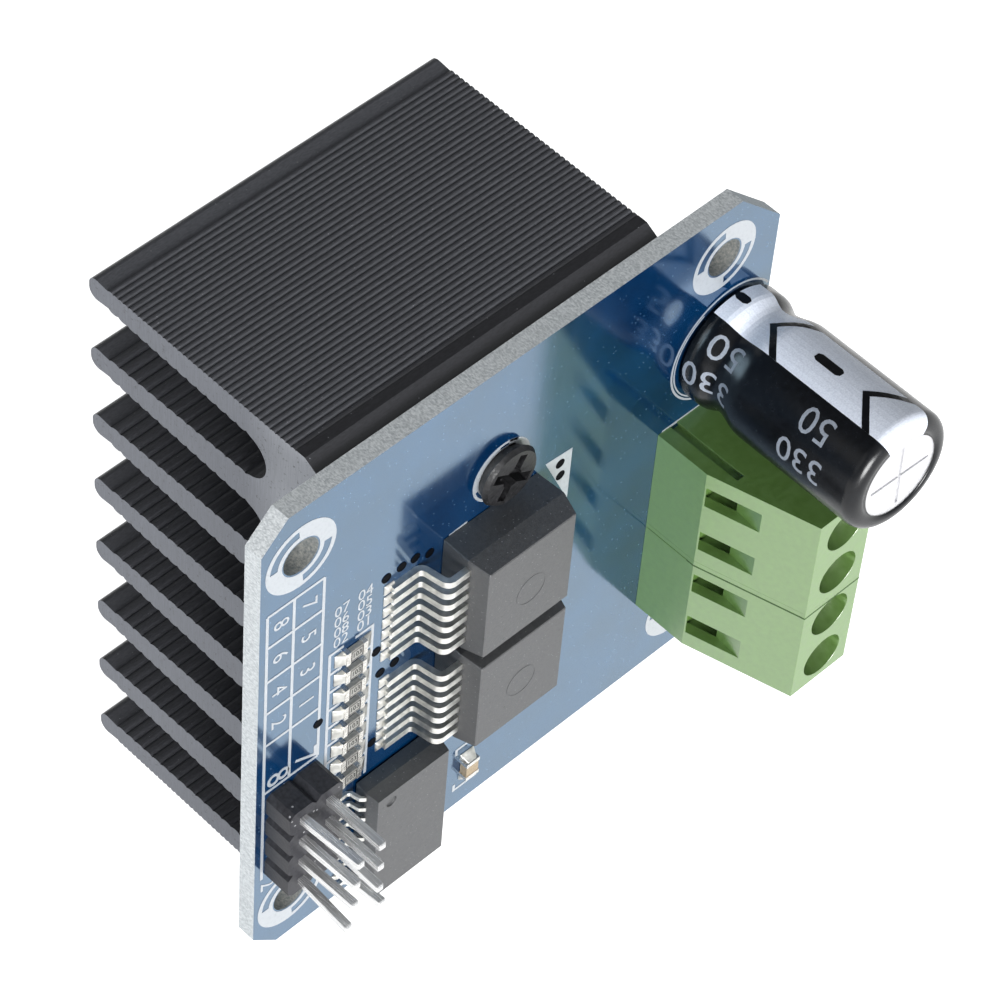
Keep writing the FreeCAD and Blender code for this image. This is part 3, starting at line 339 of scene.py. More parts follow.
for material, nodes in (
        (BOARD, ["circuit_board"]),
        (PAD, ["thermal_pad"]),
        (SCREW, ["heatsink_screw"]),
        (EPOXY, ["upper_driver_body", "lower_driver_body", "logic_buffer_body"]),
        (TIN, ["upper_driver_tab", "lower_driver_tab", "capacitor_leads",
               "upper_terminal_contacts", "lower_terminal_contacts"]),
        (LEAD, ["upper_driver_leads", "lower_driver_leads", "logic_buffer_leads"]),
        (HEADER, ["header_block"]),
        (ALUMINIUM, ["capacitor_can"]),
        (SLEEVE, ["capacitor_sleeve"]),
        (RUBBER, ["capacitor_bung"]),
        (GREEN, ["upper_terminal_housing", "lower_terminal_housing"]),
        (ZINC, ["upper_clamp_cages", "lower_clamp_cages", "upper_clamp_screws", "lower_clamp_screws"]),
        (SOLDER, ["header_solder", "capacitor_solder", "terminal_solder"]),
        (RESISTOR, [f"resistor_{number + 1}" for number in range(RESISTORS)]),
        (BYPASS_CHIP, ["bypass_capacitor"])):
    for node in nodes:
        frame["nodes"][node].data.materials.clear()
        frame["nodes"][node].data.materials.append(material)


# Pieces

SQUARE = ((-1, -1), (1, -1), (1, 1), (-1, 1))


def piece(name, mesh, slot, *materials, replaces=(), smooth=False):
    """Puts a bmesh in the scene as a piece that rides on the module."""
    data = bpy.data.meshes.new(name)
    bmesh.ops.recalc_face_normals(mesh, faces=mesh.faces)
    mesh.to_mesh(data)
    mesh.free()
    for material in materials:
        data.materials.append(material)
    if smooth:
        data.polygons.foreach_set("use_smooth", [True]*len(data.polygons))
    made = bpy.data.objects.new(name, data)
    bpy.context.scene.collection.objects.link(made)
    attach(made, "root")
    if replaces:
        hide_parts(*replaces)
    return made


def loft(mesh, rings):
    """Closed solid through rings of points, which have equal counts."""
    rings = [[mesh.verts.new(point) for point in ring] for ring in rings]
    mesh.faces.new(rings[0])
    mesh.faces.new(rings[-1][::-1])
    for one, two in zip(rings, rings[1:]):
        for here in range(len(one)):
            after = (here + 1) % len(one)
            mesh.faces.new((one[here], one[after], two[after], two[here]))


def prism(mesh, outline, low, high):
    """Closed prism on the board: an outline of (across, up), between two heights above the face."""
    loft(mesh, [[at(x, z, out) for x, z in outline] for out in (low, high)])


def tube(mesh, inner, outer, low, high):
    """Closed ring on the board between two outlines with equal numbers of points."""
    walls = [[mesh.verts.new(at(x, z, out)) for x, z in line] for line, out in
             ((outer, low), (outer, high), (inner, high), (inner, low))]
    for here in range(len(inner)):
        after = (here + 1) % len(inner)
        for one in range(4):
            two = (one + 1) % 4
            mesh.faces.new((walls[one][here], walls[one][after], walls[two][after], walls[two][here]))


def circle(middle, radius, start=0.0, stop=360.0, parts=48):
    """Points on a circle. A full turn doesn't repeat its first point."""
    full = abs(stop - start) >= 360
    count = max(3, int(parts*abs(stop - start)/360))
    return [(middle[0] + radius*math.cos(math.radians(start + (stop - start)*k/count)),
             middle[1] + radius*math.sin(math.radians(start + (stop - start)*k/count)))
            for k in range(count if full else count + 1)]


def band(points, wide):
    """Outline of a line with mitred corners."""
    sides = ([], [])
    for here, point in enumerate(points):
        before = Vector(points[here]) - Vector(points[here - 1]) if here else None
        after = Vector(points[here + 1]) - Vector(point) if here < len(points) - 1 else None
        ways = [way.normalized() for way in (before, after) if way is not None]
        ahead = sum(ways, Vector((0, 0))).normalized()
        normal = Vector((-ahead.y, ahead.x))
        reach = wide/2/max(0.3, normal.dot(Vector((-ways[0].y, ways[0].x))))
        sides[0].append(tuple(Vector(point) + normal*reach))
        sides[1].append(tuple(Vector(point) - normal*reach))
    return sides[0] + sides[1][::-1]


def glyphs(text, size):
    """Flat mesh of plain numbers, centred on the origin, in millimetres."""
    curve = bpy.data.curves.new("number", "FONT")
    curve.body = text
    curve.size = size
    curve.align_x = "CENTER"
    curve.align_y = "CENTER"
    curve.resolution_u = 3
    writing = bpy.data.objects.new("number", curve)
    bpy.context.scene.collection.objects.link(writing)
    bpy.context.view_layer.update()
    flat = bpy.data.meshes.new_from_object(writing)
    made = bmesh.new()
    made.from_mesh(flat)
    bmesh.ops.remove_doubles(made, verts=made.verts, dist=1e-6)
    bpy.data.objects.remove(writing)
    bpy.data.curves.remove(curve)
    bpy.data.meshes.remove(flat)
    return made


def thicken(flat, mesh, place, low, high):
    """Adds a flat mesh to another as a closed slab, each point put in place by a function."""
    levels = []
    for out in (low, high):
        levels.append({vert: mesh.verts.new(place(vert.co.x, vert.co.y, out)) for vert in flat.verts})
    for face in flat.faces:
        mesh.faces.new([levels[1][vert] for vert in face.verts])
        mesh.faces.new([levels[0][vert] for vert in reversed(face.verts)])
    for edge in flat.edges:
        if len(edge.link_faces) == 1:
            one, two = edge.verts
            mesh.faces.new((levels[0][one], levels[0][two], levels[1][two], levels[1][one]))
    flat.free()


# Heights of the print's two faces above the board, and of lines that cross others
PRINT = (-0.02, 0.022)
RAISED = 0.027


def number(mesh, text, across, up, size, along=(0, -1), squeeze=1.0, low=PRINT[0], high=PRINT[1]):
    """Plain number on the board. It reads along a direction; its top is a quarter turn to the left."""
    top = (-along[1], along[0])

    def place(right, rise, out):
        right *= squeeze
        return at(across + right*along[0] + rise*top[0], up + right*along[1] + rise*top[1], out)
    thicken(glyphs(text, size), mesh, place, low, high)


# Heatsink: the extrusion with its fine ridges

FIN_GAPS = 7
FIN_PITCH = 7.18
FIN_TIP = 2.0
FIN_ROOT = 3.05
SINK_TALL = FIN_GAPS*FIN_PITCH + FIN_TIP
SINK_DEEP = 22.95
BASE_THICK = 4.85
TIP_ROUND = 0.8
TIP_SMOOTH = 2.0
LIP_BEVEL = (1.15, 0.65)
# Pitch and depth of the ridges outside and between the fins
OUTER_RIDGES = (0.51, 0.15)
INNER_RIDGES = (1.01, 0.17)
# One ridge: how far along its pitch, and how deep below its crest, as shares
RIDGE = ((0.0, 1.0), (0.12, 0.45), (0.3, 0.08), (0.5, 0.0), (0.7, 0.08), (0.88, 0.45))


def ridged(start, stop, pitch, deep):
    """Points from start to stop, (out, up), with rounded ridges cut into the wall to the left."""
    run = Vector(stop) - Vector(start)
    count = int(round(run.length/pitch))
    inward = Vector((-run.y, run.x)).normalized()
    points = []
    for step in range(count):
        for share, depth in RIDGE:
            points.append(Vector(start) + run*(step + share)/count + inward*deep*depth)
    points.append(Vector(start) + run + inward*deep)
    return [tuple(point) for point in points]


def arc(middle, radius, start, stop, steps=8):
    return [(middle[0] + radius*math.cos(math.radians(start + (stop - start)*k/steps)),
             middle[1] + radius*math.sin(math.radians(start + (stop - start)*k/steps))) for k in range(steps + 1)]


def sink_profile():
    """Outline of the extrusion, (depth from its front, height), from the bottom front corner round."""
    deep = SINK_DEEP - TIP_ROUND
    rough = SINK_DEEP - TIP_SMOOTH
    outline = [(0.0, LIP_BEVEL[1]), (LIP_BEVEL[0], 0.0), (SINK_LIP, 0.0)]
    outline += ridged((SINK_LIP, 0.0), (rough, 0.0), *OUTER_RIDGES)
    outline += arc((deep, TIP_ROUND), TIP_ROUND, -90, 0)
    root = (FIN_PITCH - FIN_ROOT)/2
    mouth = (FIN_PITCH - FIN_TIP)/2
    bottom = BASE_THICK + root
    near_tip = root + (mouth - root)*((rough - bottom)/(deep - bottom))
    for gap in range(FIN_GAPS):
        low = FIN_PITCH*gap + FIN_TIP
        high = FIN_PITCH*(gap + 1)
        middle = (low + high)/2
        outline += arc((deep, low - TIP_ROUND), TIP_ROUND, 0, 90)
        outline += ridged((rough, middle - near_tip), (bottom, middle - root), *INNER_RIDGES)
        outline += arc((bottom, middle), root, 270, 90, 16)[1:-1]
        outline += ridged((bottom, middle + root), (rough, middle + near_tip), *INNER_RIDGES)
        outline += arc((deep, high + TIP_ROUND), TIP_ROUND, -90, 0)
    outline += arc((deep, SINK_TALL - TIP_ROUND), TIP_ROUND, 0, 90)
    outline += ridged((rough, SINK_TALL), (SINK_LIP, SINK_TALL), *OUTER_RIDGES)
    outline += [(SINK_LIP, SINK_TALL), (LIP_BEVEL[0], SINK_TALL), (0.0, SINK_TALL - LIP_BEVEL[1])]
    return outline


def heatsink():
    mesh = bmesh.new()
    outline = sink_profile()
    ends = [[mesh.verts.new((across/MM, SINK_LOW[1]/MM + out, SINK_LOW[2]/MM + up)) for out, up in outline]
            for across in (SINK_LOW[0], SINK_HIGH[0])]
    for here in range(len(outline)):
        after = (here + 1) % len(outline)
        mesh.faces.new((ends[0][here], ends[0][after], ends[1][after], ends[1][here]))
    for side in ends:
        mesh.faces.new(side).material_index = 1
    mesh.normal_update()
    bmesh.ops.triangulate(mesh, faces=[face for face in mesh.faces if len(face.verts) > 4])
    bmesh.ops.scale(mesh, vec=(MM, MM, MM), verts=mesh.verts)
    return piece("ridged_heatsink", mesh, "anodised_black", ANODISED, SAWN, replaces=["heatsink"])


heatsink()


# Screen print on the board

LINE = 0.26
MOUNT_HOLES = [(across, up) for across in (3.6, 44.3) for up in (5.0, 45.0)]
MOUNT_RINGS = (1.72, 2.12, 2.8, 3.2)
SINK_SCREW = (22.68, 38.78)
CAN_MIDDLE = (45.46, 35.40)
# Table beside the header: its upright lines, its level ones and the columns of its numbers
TABLE_ACROSS = (0.68, 3.12, 5.87)
TABLE_UPS = (40.8, 37.3, 33.45, 29.8, 26.05, 20.3)
TABLE_FOOT = 9.6
TABLE_COLUMNS = (1.9, 4.5)
TABLE_ROWS = (39.05, 35.4, 31.6, 27.9)
# Frame round the resistors
FRAME_ACROSS = (6.68, 10.75)
FRAME_UPS = (13.6, 31.3)
FRAME_LABELS = {7.68: (7, 6, 8, 2), 9.9: (4, 5, 3, 1)}


def line(mesh, *points, high=PRINT[1]):
    prism(mesh, band(points, LINE), PRINT[0], high)


def sector(mesh, middle, inner, outer, start, stop):
    prism(mesh, circle(middle, outer, start, stop, 64) + circle(middle, inner, stop, start, 64), *PRINT)


def ring_print(mesh):
    """Broken rings round the mounting holes, the heatsink screw and the capacitor."""
    inner, wide, narrow, outer = MOUNT_RINGS
    for hole in MOUNT_HOLES:
        for start in (-3, 177):
            sector(mesh, hole, inner, outer, start, start + 98)
            sector(mesh, hole, inner, wide, start + 98, start + 180)
            sector(mesh, hole, narrow, outer, start + 98, start + 180)
    for start, stop in ((97, 195), (237, 437)):
        sector(mesh, SINK_SCREW, 2.15, 2.78, start, stop)
    for start, stop in ((57, 97), (195, 237)):
        sector(mesh, SINK_SCREW, 2.15, 2.32, start, stop)
        sector(mesh, SINK_SCREW, 2.56, 2.78, start, stop)


def table_print(mesh):
    """Table beside the header, with a plain number for each pin."""
    for across in TABLE_ACROSS:
        foot = TABLE_FOOT if across == TABLE_ACROSS[0] else TABLE_UPS[-1]
        line(mesh, (across, TABLE_UPS[0]), (across, foot))
    for up in TABLE_UPS:
        line(mesh, (TABLE_ACROSS[0], up), (TABLE_ACROSS[-1], up), high=RAISED)
    for across, first in zip(TABLE_COLUMNS, (8, 7)):
        for row, up in enumerate(TABLE_ROWS):
            number(mesh, str(first - 2*row), across, up, 2.0)
    number(mesh, "8", 1.95, 21.25, 3.0)
    number(mesh, "7", 4.6, 21.2, 3.0)
    number(mesh, "2", 1.3, 8.5, 2.2)


def frame_print(mesh):
    """Frame and short lines round the resistors, with two columns of numbers above."""
    left, right = FRAME_ACROSS
    foot, head = FRAME_UPS
    for across in FRAME_ACROSS:
        line(mesh, (across, head), (across, foot))
    line(mesh, (left - 0.11, head), (8.0, head), high=RAISED)
    line(mesh, (9.1, head), (right + 0.11, head), high=RAISED)
    for row in range(1, RESISTORS):
        up = RESISTOR_TOP + RESISTOR_PITCH*(0.5 - row)
        line(mesh, (left, up), (7.9, up), high=RAISED)
        line(mesh, (10.25, up), (right, up), high=RAISED)
    for column, numbers in FRAME_LABELS.items():
        for row, shown in enumerate(numbers):
            number(mesh, f"0{shown}", column, 35.7 - 1.16*row, 1.55, along=(1, 0), squeeze=0.95)


def board_print():
    mesh = bmesh.new()
    ring_print(mesh)
    table_print(mesh)
    frame_print(mesh)
    # Outline of the capacitor
    sector(mesh, CAN_MIDDLE, 5.22, 5.4, 35, 325)
    sector(mesh, CAN_MIDDLE, 4.98, 5.1, 120, 235)
    # Marks at the corners of the upper half bridge, and the line that the terminals cross
    prism(mesh, [(30.02, 35.32), (27.3, 35.6), (30.0, 29.66)], *PRINT)
    line(mesh, (17.86, 35.33), (19.59, 35.46))
    line(mesh, (39.9, 29.22), (45.0, 29.22))
    # Brackets round the bypass chip
    for end in (6.6, 2.8):
        out = end + (0.7 if end > BYPASS[1] else -0.7)
        line(mesh, (20.5, end), (20.5, out), (22.8, out), (22.8, end))
    return piece("board_print", mesh, "board_laminate", INK)


VIA_ROUND = 0.4
VIAS = [(11.85, 35.64), (13.29, 35.72), (11.24, 27.8), (13.16, 24.88), (11.76, 24.85), (11.31, 16.85),
        (5.81, 24.18), (28.85, 34.47), (28.99, 33.06), (16.0, 35.0), (14.6, 35.6)]


# Dark discs and rims of painted shade where the small holes open in the board
def via_hole_shades():
    mesh = bmesh.new()
    for middle in VIAS:
        prism(mesh, circle(middle, VIA_ROUND, parts=24), -0.02, 0.03)
        inner, outer = (circle(middle, VIA_ROUND + side*0.04, parts=24) for side in (-1, 1))
        tube(mesh, inner, outer, -0.02, 0.045)
    return piece("via_hole_shades", mesh, "board_laminate", VIA_SHADE)


board_print()
via_hole_shades()


# Rounded edges on mouldings, and the fine marks that moulding leaves

def rounded_edges(node, wide):
    """Welds the node's split corners, joins its flat triangles and bevels what is left, as modifiers."""
    target = frame["nodes"][node]
    weld = target.modifiers.new("weld", "WELD")
    weld.merge_threshold = 0.002*MM
    flat = target.modifiers.new("flat", "DECIMATE")
    flat.decimate_type = "DISSOLVE"
    flat.angle_limit = math.radians(0.5)
    bevel = target.modifiers.new("bevel", "BEVEL")
    bevel.width = wide*MM
    bevel.segments = 1
    bevel.limit_method = "ANGLE"
    bevel.angle_limit = math.radians(35)


DRIVER_MARKS = ((22.0, 30.05), (21.9, 19.3))
MARK_ROUND = (1.36, 1.43)
# Outer and inner edge of the line of painted shadow at the terminals' joint, (across from the blocks' rear, out)
JOINT_LINE = (((-0.015, 0.3), (-0.015, 5.0), (2.535, 14.095), (8.5, 14.095)),
              ((0.02, 0.3), (0.02, 5.0), (2.57, 14.06), (8.5, 14.06)))
JOINT_HALF = 0.07


def mould_marks():
    """Rings on the half bridges' fronts."""
    mesh = bmesh.new()
    face = (BOARD_LOW[1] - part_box("upper_driver_body")[0][1])/MM
    for middle in DRIVER_MARKS:
        inner, outer = (circle(middle, radius) for radius in MARK_ROUND)
        tube(mesh, inner, outer, face - 0.02, face + 0.02)
    return piece("mould_marks", mesh, "mould_epoxy", EPOXY)


def terminal_joint():
    """Flash, and a dark line of painted shadow where the two terminal blocks meet."""
    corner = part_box("upper_terminal_housing")[0]
    wall = (corner[0] - BOARD_LOW[0])/MM
    joint = (corner[2] - BOARD_LOW[2])/MM
    mesh = bmesh.new()
    prism(mesh, [(wall - 0.05, joint - 0.06), (wall + 0.1, joint - 0.06), (wall + 0.1, joint + 0.07),
                 (wall - 0.03, joint + 0.03)], 0.1, 4.3)
    piece("joint_flash", mesh, "green_plastic", GREEN)
    mesh = bmesh.new()
    loft(mesh, [[at(wall + x, joint + side*JOINT_HALF, out) for (x, out), side in
                 ((outer, -1), (outer, 1), (inner, 1), (inner, -1))] for outer, inner in zip(*JOINT_LINE)])
    piece("joint_shadow_line", mesh, "green_plastic", JOINT_SHADOW)


for housing in ("upper_terminal_housing", "lower_terminal_housing"):
    rounded_edges(housing, 0.13)
for body in ("upper_driver_body", "lower_driver_body", "logic_buffer_body"):
    rounded_edges(body, 0.07)
mould_marks()
terminal_joint()


# Solder on the component side

# Rows of leads on the packages
LEAD_PITCH = 1.27
DRIVER_UPS = (30.5, 19.7)
DRIVER_LEADS = 7
BUFFER_MIDDLE = (13.375, 7.08)
BUFFER_LEADS = 10
BUFFER_SIDE = 5.15
# Solder on the half bridges' pads: left, right, width, and its levels as mound takes them
DRIVER_PAD = (11.68, 12.6, 1.02)
DRIVER_HEAP = ((-0.02, 0, 0, 0, 0), (0.05, 0, 0, 0, 0), (0.122, 0.07, 0, 0.102, 0.102),
               (0.186, 0.15, 0, 0.204, 0.204), (0.21, 0.2, 0.05, 0.306, 0.306))


def mound(mesh, low, high, levels):
    """Solder heap on the board: rectangles of (height, inset left, right, down, up), joined in a loft."""
    rings = []
    for out, *inset in levels:
        left, right = low[0] + inset[0], high[0] - inset[1]
        down, above = low[1] + inset[2], high[1] - inset[3]
        rings.append([at(x, z, out) for x, z in ((left, down), (right, down), (right, above), (left, above))])
    loft(mesh, rings)


def sided(side, *levels, upright=False):
    """Levels from (height, inset of one end, inset of both flanks). The side, -1 or 1, names the end."""
    for out, end, flank in levels:
        ends = (end, 0) if side < 0 else (0, end)
        yield (out, flank, flank, *ends) if upright else (out, *ends, flank, flank)


def lead_ups(middle, leads):
    return [middle + LEAD_PITCH*(lead - (leads - 1)/2) for lead in range(leads)]


def pad_solder():
    mesh = bmesh.new()
    left, right, wide = DRIVER_PAD
    for middle in DRIVER_UPS:
        for up in lead_ups(middle, DRIVER_LEADS):
            mound(mesh, (left, up - wide/2), (right, up + wide/2), DRIVER_HEAP)
    for side in (-1, 1):
        edge = BUFFER_MIDDLE[0] + side*BUFFER_SIDE
        left, right = sorted((edge + side*0.45, edge - side*0.1))
        for up in lead_ups(BUFFER_MIDDLE[1], BUFFER_LEADS):
            mound(mesh, (left, up - 0.3), (right, up + 0.3),
                  sided(side, (-0.02, 0, 0), (0.04, 0, 0), (0.16, 0.25, 0.08), (0.24, 0.42, 0.16)))
    for row in range(RESISTORS):
        up = RESISTOR_TOP - RESISTOR_PITCH*row
        for side in (-1, 1):
            left, right = sorted((RESISTOR_X + side*0.98, RESISTOR_X + side*1.75))
            mound(mesh, (left, up - 0.68), (right, up + 0.68),
                  sided(side, (-0.02, 0, 0), (0.05, 0, 0), (0.2, 0.3, 0.1), (0.36, 0.55, 0.2), (0.46, 0.7, 0.3)))
    for side in (-1, 1):
        down, above = sorted((BYPASS[1] + side*0.98, BYPASS[1] + side*1.6))
        mound(mesh, (BYPASS[0] - 0.7, down), (BYPASS[0] + 0.7, above),
              sided(side, (-0.02, 0, 0), (0.05, 0, 0), (0.3, 0.25, 0.1), (0.55, 0.45, 0.2), (0.7, 0.55, 0.3),
                    upright=True))
    made = piece("pad_solder", mesh, "solder", SOLDER, smooth=True)
    soften = made.modifiers.new("round", "BEVEL")
    soften.width = 0.12*MM
    soften.segments = 2
    soften.limit_method = "ANGLE"
    return made


pad_solder()


# Glazed tops of the resistors, with their codes

def resistor_tops():
    plates = bmesh.new()
    codes = bmesh.new()
    for row in range(RESISTORS):
        up = RESISTOR_TOP - RESISTOR_PITCH*row
        plate, inner, outer = ([(RESISTOR_X + x*wide, up + z*tall) for x, z in SQUARE]
                               for wide, tall in ((0.58, 0.56), (0.5, 0.44), (0.56, 0.5)))
        prism(plates, plate, 0.44, 0.475)
        number(codes, "103", RESISTOR_X, up, 0.72, along=(1, 0), squeeze=0.85, low=0.46, high=0.49)
        tube(codes, inner, outer, 0.46, 0.485)
    piece("resistor_glaze", plates, "chip_ceramic", PLATE)
    piece("resistor_codes", codes, "chip_ceramic", CODE)


resistor_tops()


# Header pins with their nearly square tips

PIN_WIDE = 0.64
PIN_PITCH = 2.54
PIN_FRONT = 8.15
PIN_BACK = 3.2
HEADER_MIDDLE = (3.5, 14.77)
HEADER_HIGH = 2.54
# How far each pin is bent at its tip, across and up: the left column from the top down, then the right
PIN_LEANS = [
    [(0.5, -0.25), (0.2, 0.0), (0.1, 0.1), (-0.45, 0.25)],
    [(0.0, 0.1), (-0.05, 0.1), (0.0, -0.1), (0.3, 0.25)],
]


def signal_pins():
    mesh = bmesh.new()
    half = PIN_WIDE/2
    levels = ((PIN_FRONT, 0.2), (PIN_FRONT - 0.1, 0.3), (PIN_FRONT - 0.2, half), (HEADER_HIGH, half),
              (0.4 - PIN_BACK, half), (-PIN_BACK, 0.15))
    for column, leans in enumerate(PIN_LEANS):
        across = HEADER_MIDDLE[0] + (column - (len(PIN_LEANS) - 1)/2)*PIN_PITCH
        for row, lean in enumerate(leans):
            up = HEADER_MIDDLE[1] + ((len(leans) - 1)/2 - row)*PIN_PITCH
            rings = []
            for out, reach in levels:
                share = max(0.0, (out - HEADER_HIGH)/(PIN_FRONT - HEADER_HIGH))
                middle = (across + lean[0]*share, up + lean[1]*share)
                rings.append([at(middle[0] + x*reach, middle[1] + z*reach, out) for x, z in SQUARE])
            loft(mesh, rings)
    return piece("signal_pins", mesh, "tinned_metal", PIN, replaces=["header_pins"])


signal_pins()


# Capacitor: its sleeve and the print on it. The can leans a little up and to the right.

CAN_FOOT = at(45.65, 35.45, 0.6)
CAN_AXIS = (Matrix.Rotation(math.radians(-2.8), 3, "X") @ Matrix.Rotation(math.radians(-2.1), 3, "Z")
            @ Vector((0, -1, 0)))
CAN_RIGHT = (Vector((1, 0, 0)) - CAN_AXIS*CAN_AXIS.x).normalized()
CAN_ABOVE = CAN_AXIS.cross(CAN_RIGHT)*(1 if CAN_AXIS.cross(CAN_RIGHT).z > 0 else -1)
SLEEVE_ROUND = 5.0
SLEEVE_LONG = 17.29
SLEEVE_THICK = 0.12
SLEEVE_PARTS = 96
CAN_EDGE = 1.0
BUNG_ROUND = 4.2
LIP_INNER = 3.5
# Where the neck starts, is deepest and stops
NECK = (1.2, 2.8, 5.4)
NECK_DEEP = 0.55


def sleeve_radius(along):
    """Radius of the sleeve at a distance up the can: a smooth neck near its foot and a round shoulder."""
    start, middle, stop = NECK
    if start < along < stop:
        share = (along - start)/(middle - start) if along < middle else (stop - along)/(stop - middle)
        return SLEEVE_ROUND - NECK_DEEP*(1 - math.cos(math.pi*share))/2
    past = min(CAN_EDGE, along - (SLEEVE_LONG - CAN_EDGE))
    if past > 0:
        return SLEEVE_ROUND - CAN_EDGE + math.sqrt(CAN_EDGE**2 - past**2)
    return SLEEVE_ROUND


def spoke(angle):
    return CAN_RIGHT*math.cos(angle) + CAN_ABOVE*math.sin(angle)


def on_sleeve(turn, along, out):
    """Point on the sleeve: an arc length in millimetres from the +X side, and a distance up the can.

    Distances past the can's end lie on its flat lip.
    """
    height = min(along, SLEEVE_LONG)
    radius = sleeve_radius(height) - (along - height)
    leaning = min(1.0, max(0.0, (height - SLEEVE_LONG + CAN_EDGE)/CAN_EDGE))
    upright = math.sqrt(1 - leaning**2)
    return CAN_FOOT + (CAN_AXIS*(height + leaning*out) + spoke(turn/SLEEVE_ROUND)*(radius + upright*out))*MM


def sliced(flat, stations_across, stations_along):
    """Cuts a flat mesh into strips, so that it can be bent round the can."""
    for stations, normal in ((stations_across, (1, 0, 0)), (stations_along, (0, 1, 0))):
        for station in stations:
            bmesh.ops.bisect_plane(flat, geom=flat.verts[:] + flat.edges[:] + flat.faces[:],
                                   plane_co=Vector(normal)*station, plane_no=normal, dist=1e-7)
    return flat


# Arc length of one degree round the sleeve, and where flat print is cut before it is bent
ARC = math.radians(1)*SLEEVE_ROUND
TURNS = [ARC*degrees for degrees in range(0, 360, 6)]
NECK_LEVELS = [NECK[0] + (NECK[2] - NECK[0])*step/12 for step in range(13)]
EDGE_LEVELS = [SLEEVE_LONG - CAN_EDGE*(1 - math.sin(math.radians(angle))) for angle in range(0, 91, 10)]
LEVELS = NECK_LEVELS + EDGE_LEVELS
# Heights of the print's two faces above the sleeve, and of the marks on the stripe
SLEEVE_PRINT = (-0.02, 0.015)
SLEEVE_MARKS = (0.0, 0.03)
# The stripe's two edges and middle, in degrees round the sleeve
STRIPE_TURNS = (58.5, 114.5, 87.6)
SLEEVE_NUMBERS = (("50", 134.5, 12.05), ("330", 170.3, 11.9), ("50", 134.5, 2.7), ("330", 170.3, 2.25))


def wrap(mesh, outlines, low, high):
    """Flat outlines of (degrees round, distance along) wrapped on the sleeve as a thin layer."""
    for outline in outlines:
        flat = bmesh.new()
        flat.faces.new([flat.verts.new((angle*ARC, along, 0)) for angle, along in outline])
        thicken(sliced(flat, TURNS, LEVELS), mesh, on_sleeve, low, high)


def sleeve():
    """The sleeve with a smooth neck and rounded shoulders, inside the outline of its CAD node."""
    mesh = bmesh.new()
    outer = [(sleeve_radius(along), along) for along in [0.0] + LEVELS]
    inner = [(radius - SLEEVE_THICK, min(along, SLEEVE_LONG - SLEEVE_THICK)) for radius, along in outer]
    profile = ([(BUNG_ROUND, 0.0)] + outer + [(LIP_INNER, SLEEVE_LONG), (LIP_INNER, SLEEVE_LONG - SLEEVE_THICK)]
               + inner[::-1] + [(BUNG_ROUND, SLEEVE_THICK)])
    rings = []
    for turn in range(SLEEVE_PARTS):
        way = spoke(2*math.pi*turn/SLEEVE_PARTS)
        rings.append([mesh.verts.new(CAN_FOOT + (CAN_AXIS*along + way*radius)*MM) for radius, along in profile])
    for turn in range(SLEEVE_PARTS):
        one, two = rings[turn - 1], rings[turn]
        for here in range(len(profile)):
            after = (here + 1) % len(profile)
            mesh.faces.new((one[here], one[after], two[after], two[here]))
    return piece("shrink_sleeve", mesh, "sleeve_film", SLEEVE, replaces=["capacitor_sleeve"], smooth=True)


def sleeve_print():
    right, left, middle = STRIPE_TURNS
    ends = (0.05, SLEEVE_LONG + SLEEVE_ROUND - CAN_EDGE - LIP_INNER - 0.05)
    stripe = bmesh.new()
    wrap(stripe, [[(right, ends[0]), (left, ends[0]), (left, ends[1]), (right, ends[1])]], *SLEEVE_PRINT)
    digits = bmesh.new()
    for text, angle, along in SLEEVE_NUMBERS:
        flat = glyphs(text, 3.0)
        for vert in flat.verts:
            vert.co = Vector((angle*ARC + vert.co.y, along - vert.co.x, 0))
        thicken(sliced(flat, TURNS, LEVELS), digits, on_sleeve, *SLEEVE_PRINT)
    piece("sleeve_print", stripe, "sleeve_film", STRIPE)
    piece("sleeve_digits", digits, "sleeve_film", DIGIT)
    marks = bmesh.new()
    # Chevrons, and dashes with cut corners
    for apex in (3.45, 12.72):
        wrap(marks, [[(middle, apex), (left, apex + 2.2), (left, apex + 2.95), (middle, apex + 0.7),
                      (right, apex + 2.95), (right, apex + 2.2)]], *SLEEVE_MARKS)
    for start, stop in ((0.05, 1.3), (8.1, 10.65)):
        wide, narrow, cut = 4.6, 2.6, 0.3
        wrap(marks, [[(middle - wide, start + cut), (middle - narrow, start), (middle + narrow, start),
                      (middle + wide, start + cut), (middle + wide, stop - cut), (middle + narrow, stop),
                      (middle - narrow, stop), (middle - wide, stop - cut)]], *SLEEVE_MARKS)
    piece("sleeve_marks", marks, "sleeve_film", SLEEVE)


sleeve()
sleeve_print()


# Floor, light and camera

FLOOR_HALF = 3.0


def floor():
    """Pale floor that looks white to the camera and in reflections, and keeps the object's shadow."""
    mesh = bmesh.new()
    mesh.faces.new([mesh.verts.new((x*FLOOR_HALF, y*FLOOR_HALF, FLOOR)) for x, y in SQUARE])
    data = bpy.data.meshes.new("floor")
    mesh.to_mesh(data)
    mesh.free()
    made = bpy.data.objects.new("floor", data)
    bpy.context.scene.collection.objects.link(made)
    look = Look("pale_floor", Roughness=1.0, Specular_IOR_Level=0.0)
    look.set("Base Color", (0.6, 0.6, 0.6))
    look.set("Emission Color", (1.0, 1.0, 1.0))
    rays = look.node("ShaderNodeLightPath").outputs
    seen = look.math("MAXIMUM", rays["Is Camera Ray"], rays["Is Glossy Ray"])
    look.set("Emission Strength", look.math("MAXIMUM", seen, rays["Is Transmission Ray"]))
    data.materials.append(look.material)


def lamp(name, place, size, power):
    """Disk lamp that faces the origin."""
    light = bpy.data.lights.new(name, "AREA")
    light.shape = "DISK"
    light.size = size
    light.energy = power
    made = bpy.data.objects.new(name, light)
    made.location = place
    made.rotation_euler = (-Vector(place)).to_track_quat("-Z", "Y").to_euler()
    bpy.context.scene.collection.objects.link(made)


